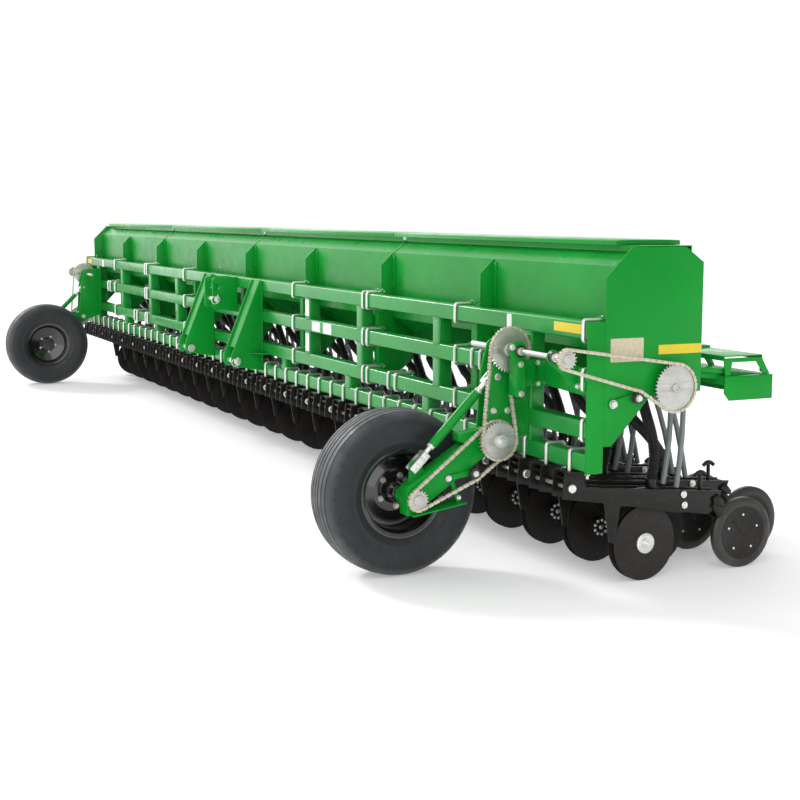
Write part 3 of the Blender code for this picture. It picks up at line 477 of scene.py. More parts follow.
def bent(points: Sequence[Flat], radius: float, steps: int = 3) -> List[Flat]:
    """An open line whose inner corners are bent to a radius.

    Args:
        points: The line's corners.
        radius: Bend radius.
        steps: Points along each bend, less one.

    Returns:
        The softened line.
    """
    made: List[Flat] = [points[0]]
    for before, here, after in zip(points, points[1:], points[2:]):
        a, b, c = Vector(before), Vector(here), Vector(after)
        one, two = (a - b).normalized(), (c - b).normalized()
        angle = one.angle(two)
        reach = min(radius / math.tan(angle / 2), 0.45 * (a - b).length, 0.45 * (c - b).length)
        start, end = b + one * reach, b + two * reach
        for step in range(steps + 1):
            t = step / steps
            point = start * (1 - t) ** 2 + b * (2 * t * (1 - t)) + end * t ** 2
            made.append((point.x, point.y))
    made.append(points[-1])
    return made


class Solid:
    """A mesh under construction, to which closed shapes are added one by one."""

    def __init__(self) -> None:
        """Starts an empty mesh."""
        self.work = bmesh.new()

    def take(self, part: bmesh.types.BMesh, move: Optional[Matrix] = None) -> "Solid":
        """Adds a finished shape and frees it.

        Args:
            part: The shape.
            move: Where it goes.

        Returns:
            This solid.
        """
        bmesh.ops.recalc_face_normals(part, faces=part.faces)
        if move is not None:
            bmesh.ops.transform(part, matrix=move, verts=part.verts)
        mesh = bpy.data.meshes.new("shape")
        part.to_mesh(mesh)
        part.free()
        self.work.from_mesh(mesh)
        bpy.data.meshes.remove(mesh)
        return self

    def take_mesh(self, mesh: bpy.types.Mesh) -> "Solid":
        """Adds a whole mesh and removes it."""
        self.work.from_mesh(mesh)
        bpy.data.meshes.remove(mesh)
        return self

    def block(self, low: Spot, high: Spot, edge: float = 0.0015, move: Optional[Matrix] = None) -> "Solid":
        """Adds a box with eased edges.

        Args:
            low: Lower corner.
            high: Upper corner.
            edge: Width of the eased edges.
            move: Turns or moves the finished box.

        Returns:
            This solid.
        """
        part = bmesh.new()
        bmesh.ops.create_cube(part, size=1.0)
        bmesh.ops.scale(part, vec=Vector(high) - Vector(low), verts=part.verts)
        bmesh.ops.translate(part, vec=(Vector(high) + Vector(low)) / 2, verts=part.verts)
        if edge:
            bmesh.ops.bevel(part, geom=part.edges[:], offset=edge, segments=2, profile=0.6, affect="EDGES")
        return self.take(part, move)

    def slab(self, start: Spot, end: Spot, half_x: float, half_t: float, edge: float = 0.0015) -> "Solid":
        """Adds a bar that runs between two points in a plane across X.

        Args:
            start: Middle of one end.
            end: Middle of the other end.
            half_x: Half its width along X.
            half_t: Half its thickness.
            edge: Width of the eased edges.

        Returns:
            This solid.
        """
        run = Vector(end) - Vector(start)
        tilt = Matrix.Rotation(math.atan2(run.z, run.y), 4, "X")
        move = Matrix.Translation((Vector(start) + Vector(end)) / 2) @ tilt
        half = run.length / 2
        return self.block((-half_x, -half, -half_t), (half_x, half, half_t), edge, move)

    def rod(self, start: Spot, end: Spot, radius: float, sides: int = 20, edge: float = 0.0015,
            end_radius: Optional[float] = None) -> "Solid":
        """Adds a round rod with chamfered ends.

        Args:
            start: Middle of one end.
            end: Middle of the other end.
            radius: Its radius.
            sides: Faces round it.
            edge: Width of the chamfers.
            end_radius: Radius at the end, where it tapers.

        Returns:
            This solid.
        """
        part = bmesh.new()
        run = Vector(end) - Vector(start)
        last = radius if end_radius is None else end_radius
        bmesh.ops.create_cone(part, cap_ends=True, segments=sides, radius1=radius, radius2=last,
                              depth=run.length)
        if edge:
            rims = [e for e in part.edges if e.calc_face_angle(0.0) > math.radians(60)]
            bmesh.ops.bevel(part, geom=rims, offset=edge, segments=1, affect="EDGES")
        turn = run.to_track_quat("Z", "Y").to_matrix().to_4x4()
        return self.take(part, Matrix.Translation((Vector(start) + Vector(end)) / 2) @ turn)

    def lathe(self, profile: Sequence[Flat], centre: Spot, steps: int = 40,
              closed: bool = False) -> "Solid":
        """Adds a shape turned about an axis along X.

        Args:
            profile: (distance along the axis, radius) points.
            centre: A point on the axis that the profile is measured from.
            steps: Faces round it.
            closed: Whether the profile closes on itself, as on a tyre.

        Returns:
            This solid.
        """
        part = bmesh.new()
        rows = []
        for along, radius in profile:
            count = 1 if radius < 1e-6 else steps
            turns = [2 * math.pi * step / steps for step in range(count)]
            rows.append([part.verts.new((along, radius * math.cos(t),
                                         radius * math.sin(t))) for t in turns])
        pairs = list(zip(rows, rows[1:])) + ([(rows[-1], rows[0])] if closed else [])
        for first, second in pairs:
            for step in range(steps):
                after = step + 1
                corners = [first[step % len(first)], first[after % len(first)],
                           second[after % len(second)], second[step % len(second)]]
                unique = list(dict.fromkeys(corners))
                if len(unique) > 2:
                    part.faces.new(unique)
        return self.take(part, Matrix.Translation(centre))

    def sweep(self, points: Sequence[Spot], radius: float, sides: int = 10,
              closed: bool = False) -> "Solid":
        """Adds a round wire along a line.

        Args:
            points: The wire's middle line.
            radius: Its radius.
            sides: Faces round it.
            closed: Whether its end meets its start.

        Returns:
            This solid.
        """
        path = [Vector(p) for p in points]
        count = len(path)
        headings = []
        for index in range(count):
            before = path[(index - 1) % count] if closed or index else path[0]
            after = path[(index + 1) % count] if closed or index < count - 1 else path[-1]
            headings.append((after - before).normalized())
        normal = headings[0].orthogonal().normalized()
        part = bmesh.new()
        rings = []
        for index, (point, heading) in enumerate(zip(path, headings)):
            if index:
                normal = headings[index - 1].rotation_difference(heading) @ normal
            other = heading.cross(normal)
            turns = [2 * math.pi * step / sides for step in range(sides)]
            rings.append([part.verts.new(point + radius * (normal * math.cos(t) + other * math.sin(t)))
                          for t in turns])
        for first, second in zip(rings, rings[1:]):
            self.bridge(part, first, second, 0)
        if closed:
            offsets = range(sides)
            best = min(offsets, key=lambda k: (rings[0][k].co - rings[-1][0].co).length)
            self.bridge(part, rings[-1], rings[0], best)
        else:
            part.faces.new(rings[0])
            part.faces.new(rings[-1])
        return self.take(part)

    @staticmethod
    def bridge(part: bmesh.types.BMesh, first: List, second: List, shift: int) -> None:
        """Joins two rings of points with faces.

        Args:
            part: The mesh they are in.
            first: One ring.
            second: The other ring.
            shift: Which point of the second ring meets the first ring's start.
        """
        count = len(first)
        for step in range(count):
            after = (step + 1) % count
            part.faces.new((first[step], first[after], second[(after + shift) % count],
                            second[(step + shift) % count]))

    def plate(self, loops: Sequence[Sequence[Flat]], thickness: float, middle: float,
              plane: Plane = Plane.YZ, edge: float = 0.001) -> "Solid":
        """Adds a flat outline with holes, given thickness and eased edges.

        Args:
            loops: The outline, then its holes.
            thickness: Its thickness.
            middle: Where the middle of its thickness is.
            plane: The plane it lies in.
            edge: Width of the eased edges.

        Returns:
            This solid.
        """
        curve = bpy.data.curves.new("outline", "CURVE")
        curve.dimensions = "2D"
        curve.fill_mode = "BOTH"
        curve.extrude = thickness / 2 - edge
        curve.bevel_depth = edge
        curve.bevel_resolution = 1
        curve.offset = -edge
        for loop in loops:
            spline = curve.splines.new("POLY")
            spline.points.add(len(loop) - 1)
            for point, (a, b) in zip(spline.points, loop):
                point.co = (a, b, 0.0, 1.0)
            spline.use_cyclic_u = True
        obj = bpy.data.objects.new("outline", curve)
        bpy.context.scene.collection.objects.link(obj)
        bpy.context.view_layer.update()
        depsgraph = bpy.context.evaluated_depsgraph_get()
        mesh = bpy.data.meshes.new_from_object(obj.evaluated_get(depsgraph))
        part = bmesh.new()
        part.from_mesh(mesh)
        bmesh.ops.remove_doubles(part, verts=part.verts, dist=0.00002)
        bpy.data.objects.remove(obj, do_unlink=True)
        bpy.data.meshes.remove(mesh)
        bpy.data.curves.remove(curve)
        turns = {
            Plane.YZ: Matrix(((0, 0, 1, middle), (1, 0, 0, 0), (0, 1, 0, 0), (0, 0, 0, 1))),
            Plane.XZ: Matrix(((1, 0, 0, 0), (0, 0, -1, middle), (0, 1, 0, 0), (0, 0, 0, 1))),
            Plane.XY: Matrix(((1, 0, 0, 0), (0, 1, 0, 0), (0, 0, 1, middle), (0, 0, 0, 1))),
        }
        return self.take(part, turns[plane])

    def hex_bolt(self, point: Spot, axis: Spot, size: float, washer: bool = True) -> "Solid":
        """Adds a bolt head that stands on a surface.

        Args:
            point: The middle of its seat.
            axis: The way out of the surface.
            size: The thread's diameter.
            washer: Whether a washer lies under it.

        Returns:
            This solid.
        """
        out = Vector(axis).normalized()
        seat = Vector(point)
        top = seat
        if washer:
            top = seat + out * size * 0.18
            self.rod(seat - out * 0.0005, top, size * 1.08, 16, size * 0.04)
        self.rod(top, top + out * size * 0.66, size * 0.92, 6, size * 0.12)
        return self

    def piece(self, name: str, finish: Finish, body: str, slot: Slot, side: Side = Side.LEFT,
              replaces: Sequence[str] = ()) -> bpy.types.Object:
        """Turns the mesh into a finished piece of the machine.

        Args:
            name: The piece's name.
            finish: Its finish.
            body: The body it moves with.
            slot: The record's slot; not used.
            side: The side it belongs to; the right side is the left one mirrored.
            replaces: The frame's nodes that it stands for.

        Returns:
            The piece.
        """
        mesh = bpy.data.meshes.new(name)
        self.work.to_mesh(mesh)
        self.work.free()
        if side is Side.RIGHT:
            mesh.transform(Matrix.Scale(-1.0, 4, (1.0, 0.0, 0.0)))
            mesh.flip_normals()
        mesh.materials.clear()
        mesh.materials.append(finish.material())
        for polygon in mesh.polygons:
            polygon.material_index = 0
        mesh.shade_smooth()
        mesh.set_sharp_from_angle(angle=math.radians(32.0))
        obj = bpy.data.objects.new(name, mesh)
        bpy.context.scene.collection.objects.link(obj)
        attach(obj, body)
        if replaces:
            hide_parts(*replaces)
        LOG.info("%s: %d faces on %s", name, len(mesh.polygons), body)
        return obj

    def pattern(self) -> bpy.types.Object:
        """A loose object that holds the mesh, for a tree to copy."""
        mesh = bpy.data.meshes.new("pattern")
        self.work.to_mesh(mesh)
        self.work.free()
        obj = bpy.data.objects.new("pattern", mesh)
        bpy.context.scene.collection.objects.link(obj)
        return obj


# ------------------------------------------------------------------ geometry trees
class Tree:
    """A Geometry Nodes tree built in code, with named inputs."""

    def __init__(self, name: str) -> None:
        """Starts a tree with its geometry input and output.

        Args:
            name: The tree's name.
        """
        self.tree = bpy.data.node_groups.new(name, "GeometryNodeTree")
        self.sockets: Dict[str, str] = {}
        self.source = self.tree.nodes.new("NodeGroupInput")
        self.target = self.tree.nodes.new("NodeGroupOutput")
        self.give("Geometry", "NodeSocketGeometry")
        self.tree.interface.new_socket(name="Geometry", in_out="OUTPUT", socket_type="NodeSocketGeometry")

    def give(self, name: str, kind: str) -> None:
        """Adds a named input."""
        made = self.tree.interface.new_socket(name=name, in_out="INPUT", socket_type=kind)
        self.sockets[name] = made.identifier

    def node(self, kind: str, **values: object) -> bpy.types.Node:
        """Adds a node.

        Args:
            kind: The node's type.
            values: Its settings.

        Returns:
            The node.
        """
        made = self.tree.nodes.new(kind)
        for name, value in values.items():
            setattr(made, name, value)
        return made

    def link(self, start: bpy.types.NodeSocket, end: bpy.types.NodeSocket) -> None:
        """Joins two sockets."""
        self.tree.links.new(start, end)

    def read(self, name: str) -> bpy.types.NodeSocket:
        """One of the tree's inputs."""
        return self.source.outputs[name]

    def finish(self, geometry: bpy.types.NodeSocket) -> None:
        """Ends the tree in real geometry with a material."""
        real = self.node("GeometryNodeRealizeInstances")
        dressed = self.node("GeometryNodeSetMaterial")
        self.link(geometry, real.inputs["Geometry"])
        self.link(real.outputs["Geometry"], dressed.inputs["Geometry"])
        self.link(self.read("Finish"), dressed.inputs["Material"])
        self.link(dressed.outputs["Geometry"], self.target.inputs["Geometry"])

    def run(self, source: bpy.types.Mesh, values: Dict[str, object]) -> bpy.types.Mesh:
        """Runs the tree on a mesh.

        Args:
            source: The points or lines it starts from.
            values: Its inputs by name.

        Returns:
            The result as a plain mesh.
        """
        carrier = bpy.data.objects.new("carrier", source)
        bpy.context.scene.collection.objects.link(carrier)
        step = carrier.modifiers.new("tree", "NODES")
        step.node_group = self.tree
        for name, value in values.items():
            step[self.sockets[name]] = value
        bpy.context.view_layer.update()
        depsgraph = bpy.context.evaluated_depsgraph_get()
        mesh = bpy.data.meshes.new_from_object(carrier.evaluated_get(depsgraph))
        carrier.modifiers.remove(step)
        bpy.data.objects.remove(carrier, do_unlink=True)
        bpy.data.meshes.remove(source)
        return mesh


class Scatter(Tree):
    """Sets copies of a part on points, each with its own turn."""

    def __init__(self) -> None:
        """Builds the tree."""
        super().__init__("scatter")
        self.give("Part", "NodeSocketObject")
        self.give("Size", "NodeSocketFloat")
        self.give("Finish", "NodeSocketMaterial")
        part = self.node("GeometryNodeObjectInfo", transform_space="ORIGINAL")
        turn = self.node("GeometryNodeInputNamedAttribute", data_type="FLOAT_VECTOR")
        turn.inputs["Name"].default_value = "turn"
        euler = self.node("FunctionNodeEulerToRotation")
        spread = self.node("GeometryNodeInstanceOnPoints")
        self.link(self.read("Part"), part.inputs["Object"])
        self.link(turn.outputs["Attribute"], euler.inputs[0])
        self.link(self.read("Geometry"), spread.inputs["Points"])
        self.link(part.outputs["Geometry"], spread.inputs["Instance"])
        self.link(euler.outputs[0], spread.inputs["Rotation"])
        self.link(self.read("Size"), spread.inputs["Scale"])
        self.finish(spread.outputs["Instances"])

    def spread(self, part: Solid, spots: Sequence[Tuple[Spot, Spot]], finish: Finish,
               size: float = 1.0) -> bpy.types.Mesh:
        """Copies a part to places.

        Args:
            part: What is copied, made round the origin.
            spots: Where each copy goes, as (place, turn about X, Y and Z).
            finish: The copies' finish.
            size: Their scale.

        Returns:
            The copies as one mesh.
        """
        points = bpy.data.meshes.new("points")
        points.from_pydata([place for place, _ in spots], [], [])
        turns = points.attributes.new("turn", "FLOAT_VECTOR", "POINT")
        turns.data.foreach_set("vector", [value for _, turn in spots for value in turn])
        pattern = part.pattern()
        mesh = self.run(points, {"Part": pattern, "Size": size, "Finish": finish.material()})
        bpy.data.objects.remove(pattern, do_unlink=True)
        return mesh


class ChainTree(Tree):
    """Lays a roller chain's inner and outer links in turn along a closed line."""

    def __init__(self) -> None:
        """Builds the tree."""
        super().__init__("chain")
        for name in ("Inner", "Outer"):
            self.give(name, "NodeSocketObject")
        self.give("Links", "NodeSocketInt")
        self.give("Finish", "NodeSocketMaterial")
        line = self.node("GeometryNodeMeshToCurve")
        even = self.node("GeometryNodeResampleCurve", mode="COUNT")
        tangent = self.node("GeometryNodeInputTangent")
        turn = self.node("FunctionNodeAlignRotationToVector", axis="Z", pivot_axis="X")
        index = self.node("GeometryNodeInputIndex")
        odd = self.node("ShaderNodeMath", operation="MODULO")
        odd.inputs[1].default_value = 2.0
        joined = self.node("GeometryNodeJoinGeometry")
        self.link(self.read("Geometry"), line.inputs["Mesh"])
        self.link(line.outputs["Curve"], even.inputs["Curve"])
        self.link(self.read("Links"), even.inputs["Count"])
        self.link(tangent.outputs["Tangent"], turn.inputs["Vector"])
        self.link(index.outputs["Index"], odd.inputs[0])
        for name in ("Inner", "Outer"):
            part = self.node("GeometryNodeObjectInfo", transform_space="ORIGINAL")
            self.link(self.read(name), part.inputs["Object"])
            chosen = self.node("ShaderNodeMath", operation="COMPARE")
            chosen.inputs[1].default_value = 0.0 if name == "Inner" else 1.0
            chosen.inputs[2].default_value = 0.1
            self.link(odd.outputs["Value"], chosen.inputs[0])
            spread = self.node("GeometryNodeInstanceOnPoints")
            self.link(even.outputs["Curve"], spread.inputs["Points"])
            self.link(chosen.outputs["Value"], spread.inputs["Selection"])
            self.link(part.outputs["Geometry"], spread.inputs["Instance"])
            self.link(turn.outputs["Rotation"], spread.inputs["Rotation"])
            self.link(spread.outputs["Instances"], joined.inputs["Geometry"])
        self.finish(joined.outputs["Geometry"])


class HoseTree(Tree):
    """Gives lines the skin of a corrugated hose."""

    def __init__(self) -> None:
        """Builds the tree."""
        super().__init__("hose")
        for name in ("Radius", "Pitch", "Depth"):
            self.give(name, "NodeSocketFloat")
        self.give("Finish", "NodeSocketMaterial")
        line = self.node("GeometryNodeMeshToCurve")
        even = self.node("GeometryNodeResampleCurve", mode="LENGTH")
        step = self.node("ShaderNodeMath", operation="DIVIDE")
        step.inputs[1].default_value = 4.0
        along = self.node("GeometryNodeSplineParameter")
        phase = self.node("ShaderNodeMath", operation="DIVIDE")
        turns = self.node("ShaderNodeMath", operation="MULTIPLY")
        turns.inputs[1].default_value = 2 * math.pi
        wave = self.node("ShaderNodeMath", operation="SINE")
        share = self.node("ShaderNodeMath", operation="MULTIPLY_ADD")
        share.inputs[2].default_value = 1.0
        circle = self.node("GeometryNodeCurvePrimitiveCircle", mode="RADIUS")
        circle.inputs["Resolution"].default_value = 10
        skin = self.node("GeometryNodeCurveToMesh")
        skin.inputs["Fill Caps"].default_value = True
        self.link(self.read("Geometry"), line.inputs["Mesh"])
        self.link(line.outputs["Curve"], even.inputs["Curve"])
        self.link(self.read("Pitch"), step.inputs[0])
        self.link(step.outputs["Value"], even.inputs["Length"])
        self.link(along.outputs["Length"], phase.inputs[0])
        self.link(self.read("Pitch"), phase.inputs[1])
        self.link(phase.outputs["Value"], turns.inputs[0])
        self.link(turns.outputs["Value"], wave.inputs[0])
        self.link(wave.outputs["Value"], share.inputs[0])
        self.link(self.read("Depth"), share.inputs[1])
        self.link(self.read("Radius"), circle.inputs["Radius"])
        self.link(even.outputs["Curve"], skin.inputs["Curve"])
        self.link(circle.outputs["Curve"], skin.inputs["Profile Curve"])
        self.link(share.outputs["Value"], skin.inputs["Scale"])
        self.finish(skin.outputs["Mesh"])


SCATTER = Scatter()
LEVEL = (0.0, 0.0, 0.0)


# ------------------------------------------------------------------ frame tubes
@dataclass
class Toolbars:
    """The three square toolbars with their posts, and the bar that carries the openers."""

    corner: float = 0.009
    post_xs: Tuple[float, ...] = (1.43, 2.23, 3.20, 4.105)
    stub_xs: Tuple[float, ...] = (1.00, 2.06, 3.08, 4.105)
    bead: float = 0.004
    plate_t: float = 0.0127

    def tube(self, solid: Solid, top: float) -> None:
        """Adds one bar over the whole width."""
        outline = rounded(at(0.0, top - TUBE), at(TUBE, top), self.corner)
        solid.plate([outline], 2 * (HALF_WIDTH - self.plate_t - SEAT), 0.0)

    def posts(self, solid: Solid, xs: Sequence[float], low: float, high: float) -> None:
        """Adds posts and the weld beads at their ends.

        Args:
            solid: What they are added to.
            xs: Their places on the left side.
            low: Top of the bar below.
            high: Underside of the bar above.
        """
        half = TUBE / 2
        for x in [-v for v in xs] + list(xs):
            outline = rounded((x - half, behind(0.0)), (x + half, behind(TUBE)), self.corner)
            solid.plate([outline], high - low, (high + low) / 2, Plane.XY, 0.0004)
            for z in (low + 0.001, high - 0.001):
                solid.sweep([(a, b, z) for a, b in outline], self.bead, 6, closed=True)

    def build(self) -> None:
        """Builds the bars as pieces in place of the frame's plain ones."""
        rows = (("upper", UPPER_TOP, self.post_xs, MIDDLE_TOP),
                ("middle", MIDDLE_TOP, self.post_xs, LOWER_TOP),
                ("lower", LOWER_TOP, self.stub_xs, OPENER_BAR_TOP))
        for label, top, xs, foot in rows:
            solid = Solid()
            self.tube(solid, top)
            self.posts(solid, xs, foot, top - TUBE)
            solid.piece(label + "_bar", BAR_SHEEN_GREEN, "frame", Slot.GREEN, replaces=[label + "_toolbar"])
        solid = Solid()
        self.tube(solid, OPENER_BAR_TOP)
        solid.piece("opener_bar", BAR_SHEEN_GREEN, "frame", Slot.GREEN)

    def end_plates(self) -> None:
        """Builds the plates that close the bars' ends."""
        depth, low = 0.083, 0.531
        outline = [at(0.0, UPPER_TOP), at(0.0, low), at(depth, low), at(depth, UPPER_TOP)]
        for side in Side:
            solid = Solid().plate([outline], self.plate_t, HALF_WIDTH - self.plate_t / 2, edge=0.0015)
            solid.piece(side.label + "_end_cap", GREEN, "frame", Slot.GREEN, side,
                        [side.label + "_end_plate"])


@dataclass
class Clamps:
    """The U-bolts that hold brackets and openers to the bars."""

    wire: float = 0.0075
    aside: float = 0.014
    bend: float = 0.013
    reach: float = 0.030
    bar_xs: Tuple[float, ...] = (1.198, 2.295, 2.357, 3.423, 4.578)
    middle_xs: Tuple[float, ...] = (3.598, 3.682)
    lower_xs: Tuple[float, ...] = (2.641, 2.731)

    def round_front(self) -> Solid:
        """A U-bolt round a bar's front with its two nuts, its bar's top front corner at the origin."""
        gap = self.wire + 0.0005
        back_y = TUBE + self.reach
        line = bent([(back_y, gap), (-gap, gap), (-gap, -TUBE - gap), (back_y, -TUBE - gap)], self.bend, 5)
        solid = Solid().sweep([(0.0, y, z) for y, z in line], self.wire, 8)
        for z in (gap, -TUBE - gap):
            solid.hex_bolt((0.0, TUBE + 0.010, z), (0.0, 1.0, 0.0), 0.015)
        return solid

    def over_top(self) -> Solid:
        """A U-bolt over a bar with its legs down, its bar's top front corner at the origin."""
        gap = self.wire + 0.0005
        low = -TUBE - 0.052
        line = bent([(-gap, low), (-gap, gap), (TUBE + gap, gap), (TUBE + gap, low)], self.bend, 5)
        solid = Solid().sweep([(0.0, y, z) for y, z in line], self.wire, 8)
        for y in (-gap, TUBE + gap):
            solid.hex_bolt((0.0, y, -TUBE - 0.026), (0.0, 0.0, -1.0), 0.015)
        return solid

    def build(self) -> None:
        """Builds every U-bolt and the strips behind the front ones."""
        spots = []
        for top, extra in ((UPPER_TOP, ()), (MIDDLE_TOP, self.middle_xs), (LOWER_TOP, self.lower_xs)):
            for x in self.bar_xs + extra:
                spots += [((side.value * x, behind(0.0), top), LEVEL) for side in Side]
        solid = Solid().take_mesh(SCATTER.spread(self.round_front(), spots, ZINC))
        solid.piece("bar_u_bolts", ZINC, "frame", Slot.ZINC)
        strip = Solid().block((-0.019, TUBE + 0.0008, -TUBE - 0.022), (0.019, TUBE + 0.0095, 0.022), 0.002)
        solid = Solid().take_mesh(SCATTER.spread(strip, spots, GREEN))
        solid.piece("clamp_strips", GREEN, "frame", Slot.GREEN)
        spots = [((row_x(row) + self.aside, behind(0.0), OPENER_BAR_TOP), LEVEL) for row in range(ROWS)]
        solid = Solid().take_mesh(SCATTER.spread(self.over_top(), spots, ZINC))
        solid.piece("opener_u_bolts", ZINC, "frame", Slot.ZINC)


# ------------------------------------------------------------------ seed box
@dataclass
class SeedBox:
    """The long folded seed box with its ribs, straps, lids and end panels."""

    front: float = 0.166
    fold: float = 1.410
    rim_front: float = 0.250
    shoulder: float = 1.472
    rim: float = 1.4985
    skirt: float = 1.040
    rib_xs: Tuple[float, ...] = (0.0, 1.165, 2.33, 3.495)
    panel_t: float = 0.005

    def shell(self) -> None:
        """Dresses the folded box itself and adds its straps and seams."""
        node = frame["nodes"]["hopper"]
        node.data.materials.clear()
        node.data.materials.append(GREEN.material())
        solid = Solid()
        lift = 0.003
        path = [(self.front - lift, self.fold - 0.22), (self.front - lift, self.fold + 0.0015),
                (self.rim_front - 0.002, self.shoulder + 0.003)]
        inner = [(a + 0.0032, b - 0.001) for a, b in path]
        outline = [at(*p) for p in path + inner[::-1]]
        for x in (-4.575, -2.33, 0.0, 2.33, 4.575):
            solid.plate([outline], 0.050, x, edge=0.0006)
        rail = [(self.rim_front - 0.006, self.rim - 0.020), (self.rim_front - 0.006, self.rim - 0.0006)]
        rail += [(self.rim_front - 0.001, self.rim - 0.0006), (self.rim_front - 0.001, self.rim - 0.020)]
        solid.plate([[at(*p) for p in rail]], 2 * HALF_WIDTH - 0.04, 0.0, edge=0.0006)
        rear = [(0.526, self.rim - 0.020), (0.526, self.rim - 0.0006), (0.531, self.rim - 0.0006),
                (0.531, self.rim - 0.020)]
        solid.plate([[at(*p) for p in rear]], 2 * HALF_WIDTH - 0.04, 0.0, edge=0.0006)
        for x in (-4.550, 4.550):
            solid.block((x - 0.060, behind(self.rim_front - 0.004), self.rim - 0.004),
                        (x + 0.060, behind(0.528), self.rim - 0.0004), 0.0008)
        solid.piece("seed_box_straps", GREEN, "frame", Slot.GREEN)
        solid = Solid()
        for x in (-2.33, 0.0, 2.33):
            solid.block((x - 0.020, behind(self.rim_front - 0.0085), self.rim - 0.018),
                        (x + 0.020, behind(self.rim_front - 0.0055), self.rim + 0.002), 0.0006)
        solid.piece("rim_tabs", WHITE, "frame", Slot.ZINC)

    def rivets(self) -> None:
        """Builds the screws along the seams of the seed box."""
        head = Solid().lathe([(0.0, 0.0), (0.0, 0.0055), (0.0018, 0.005), (0.0030, 0.003), (0.0034, 0.0)],
                             LEVEL, 10)
        forward = (0.0, 0.0, -math.pi / 2)
        spots = []
        for x in (-2.33, 0.0, 2.33):
            for z in (self.fold - 0.02, self.fold - 0.10, self.fold - 0.18):
                spots += [((x + d, behind(self.front - 0.003), z), forward) for d in (-0.016, 0.016)]
        for x in self.rib_xs:
            for z in (1.08, 1.18, 1.28, 1.36):
                for side in Side:
                    spots += [((side.value * x + 0.024, behind(self.front - 0.0005), z), forward)]
        backward = (0.0, 0.0, math.pi / 2)
        for index in range(93):
            x = -4.51 + index * 0.098
            spots.append(((x, behind(0.5855), 1.060), backward))
        solid = Solid().take_mesh(SCATTER.spread(head, spots, ZINC))
        solid.piece("seed_box_screws", ZINC, "frame", Slot.ZINC)

    def ribs(self) -> None:
        """Builds the seven upright brackets, each a web with a flange in front."""
        slope = (self.skirt - 0.915) / (0.345 - self.front)
        under = self.skirt - slope * (0.300 - self.front) - 0.0008
        web = [(TUBE + 0.0003, 0.685), (TUBE + 0.0003, UPPER_TOP), (0.096, UPPER_TOP + 0.012),
               (0.096, 1.343)]
        web += [(self.front - 0.0005, self.fold), (self.front - 0.0005, self.skirt), (0.300, under)]
        web += [(0.300, 0.800), (0.160, 0.685)]
        number = 0
        for x in [-v for v in self.rib_xs[:0:-1]] + list(self.rib_xs):
            number += 1
            solid = Solid().plate([[at(*p) for p in web]], 0.008, x)
            low, high = (x - 0.058, behind(TUBE + 0.0006), 0.690), (x - 0.002, behind(TUBE + 0.0066), 1.176)
            solid.block(low, high, 0.002)
            solid.block((x - 0.014, behind(0.096), UPPER_TOP + 0.012), (x + 0.004, behind(0.101), 1.340),
                        0.0015)
            solid.block((x - 0.002, behind(self.front - 0.006), 1.045),
                        (x + 0.040, behind(self.front - 0.0006), 1.395), 0.0015)
            solid.piece("rib_%d" % number, GREEN, "frame", Slot.GREEN,
                        replaces=["hopper_bracket_%d" % number])

    def lids(self) -> None:
        """Builds the four lids: shallow crowned pans with eased edges."""
        for number in range(1, 5):
            low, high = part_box("hopper_lid_%d" % number)
            solid = Solid()
            top, base = high.z, low.z
            crown = [(low.y, base), (low.y, top - 0.006), (low.y + 0.006, top - 0.002)]
            crown += [(low.y + 0.06, top), (high.y - 0.06, top), (high.y - 0.006, top - 0.002)]
            crown += [(high.y, top - 0.006), (high.y, base)]
            solid.plate([crown], high.x - low.x, (low.x + high.x) / 2, edge=0.0012)
            lid = solid.piece("lid_panel_%d" % number, GREEN, "lid_%d" % number, Slot.GREEN,
                              replaces=["hopper_lid_%d" % number])
            LOG.info("%s is %.3f m long", lid.name, high.x - low.x)

    def end_panels(self) -> None:
        """Builds the end panels, their chain tighteners, tapes and plates."""
        panel = [(0.0833, 0.645), (0.0833, 1.365), (0.211, 1.493), (0.492, 1.493), (0.588, 1.426)]
        panel += [(0.588, 0.861), (0.322, 0.852), (0.125, 0.645)]
        feed = joint_point("left_feed_shaft_spin")
        outline = [at(*p) for p in panel]
        x = HALF_WIDTH - self.panel_t / 2
        face = HALF_WIDTH
        for side in Side:
            solid = Solid().plate([outline, ring((feed.y, feed.z), 0.0125)], self.panel_t, x)
            solid.slab((face + 0.006, behind(0.112), 0.826), (face + 0.006, behind(0.236), 0.852), 0.005,
                       0.017)
            solid.piece(side.label + "_panel", GREEN, "frame", Slot.GREEN, side,
                        [side.label + "_end_panel"])
            solid = Solid().hex_bolt((face + 0.011, behind(0.122), 0.828), (1.0, 0.0, 0.0), 0.018)
            solid.hex_bolt((face + 0.038, behind(0.236), 0.850), (1.0, 0.0, 0.0), 0.014)
            solid.rod((face + 0.008, behind(0.236), 0.850), (face + 0.040, behind(0.236), 0.850), 0.008)
            solid.piece(side.label + "_tightener_bolts", ZINC, "frame", Slot.ZINC, side)
            roller = [(-0.013, 0.009), (-0.013, 0.024), (-0.008, 0.024), (-0.005, 0.022), (0.005, 0.022),
                      (0.008, 0.024), (0.013, 0.024), (0.013, 0.009)]
            solid = Solid().lathe(roller, (face + 0.026, behind(0.236), 0.850), 28, closed=True)
            solid.piece(side.label + "_panel_roller", PRESS_RUBBER, "frame", Slot.BLACK, side)
            solid = Solid().plate([rounded(at(0.358, 1.031), at(0.587, 1.072), 0.002)], 0.0008,
                                  face + 0.0006,
                                  edge=0.0001)
            solid.piece(side.label + "_panel_tape", YELLOW, "frame", Slot.GREEN, side)
            solid = Solid().plate([rounded(at(0.110, 1.006), at(0.279, 1.107), 0.006)], 0.0016,
                                  face + 0.001,
                                  edge=0.0003)
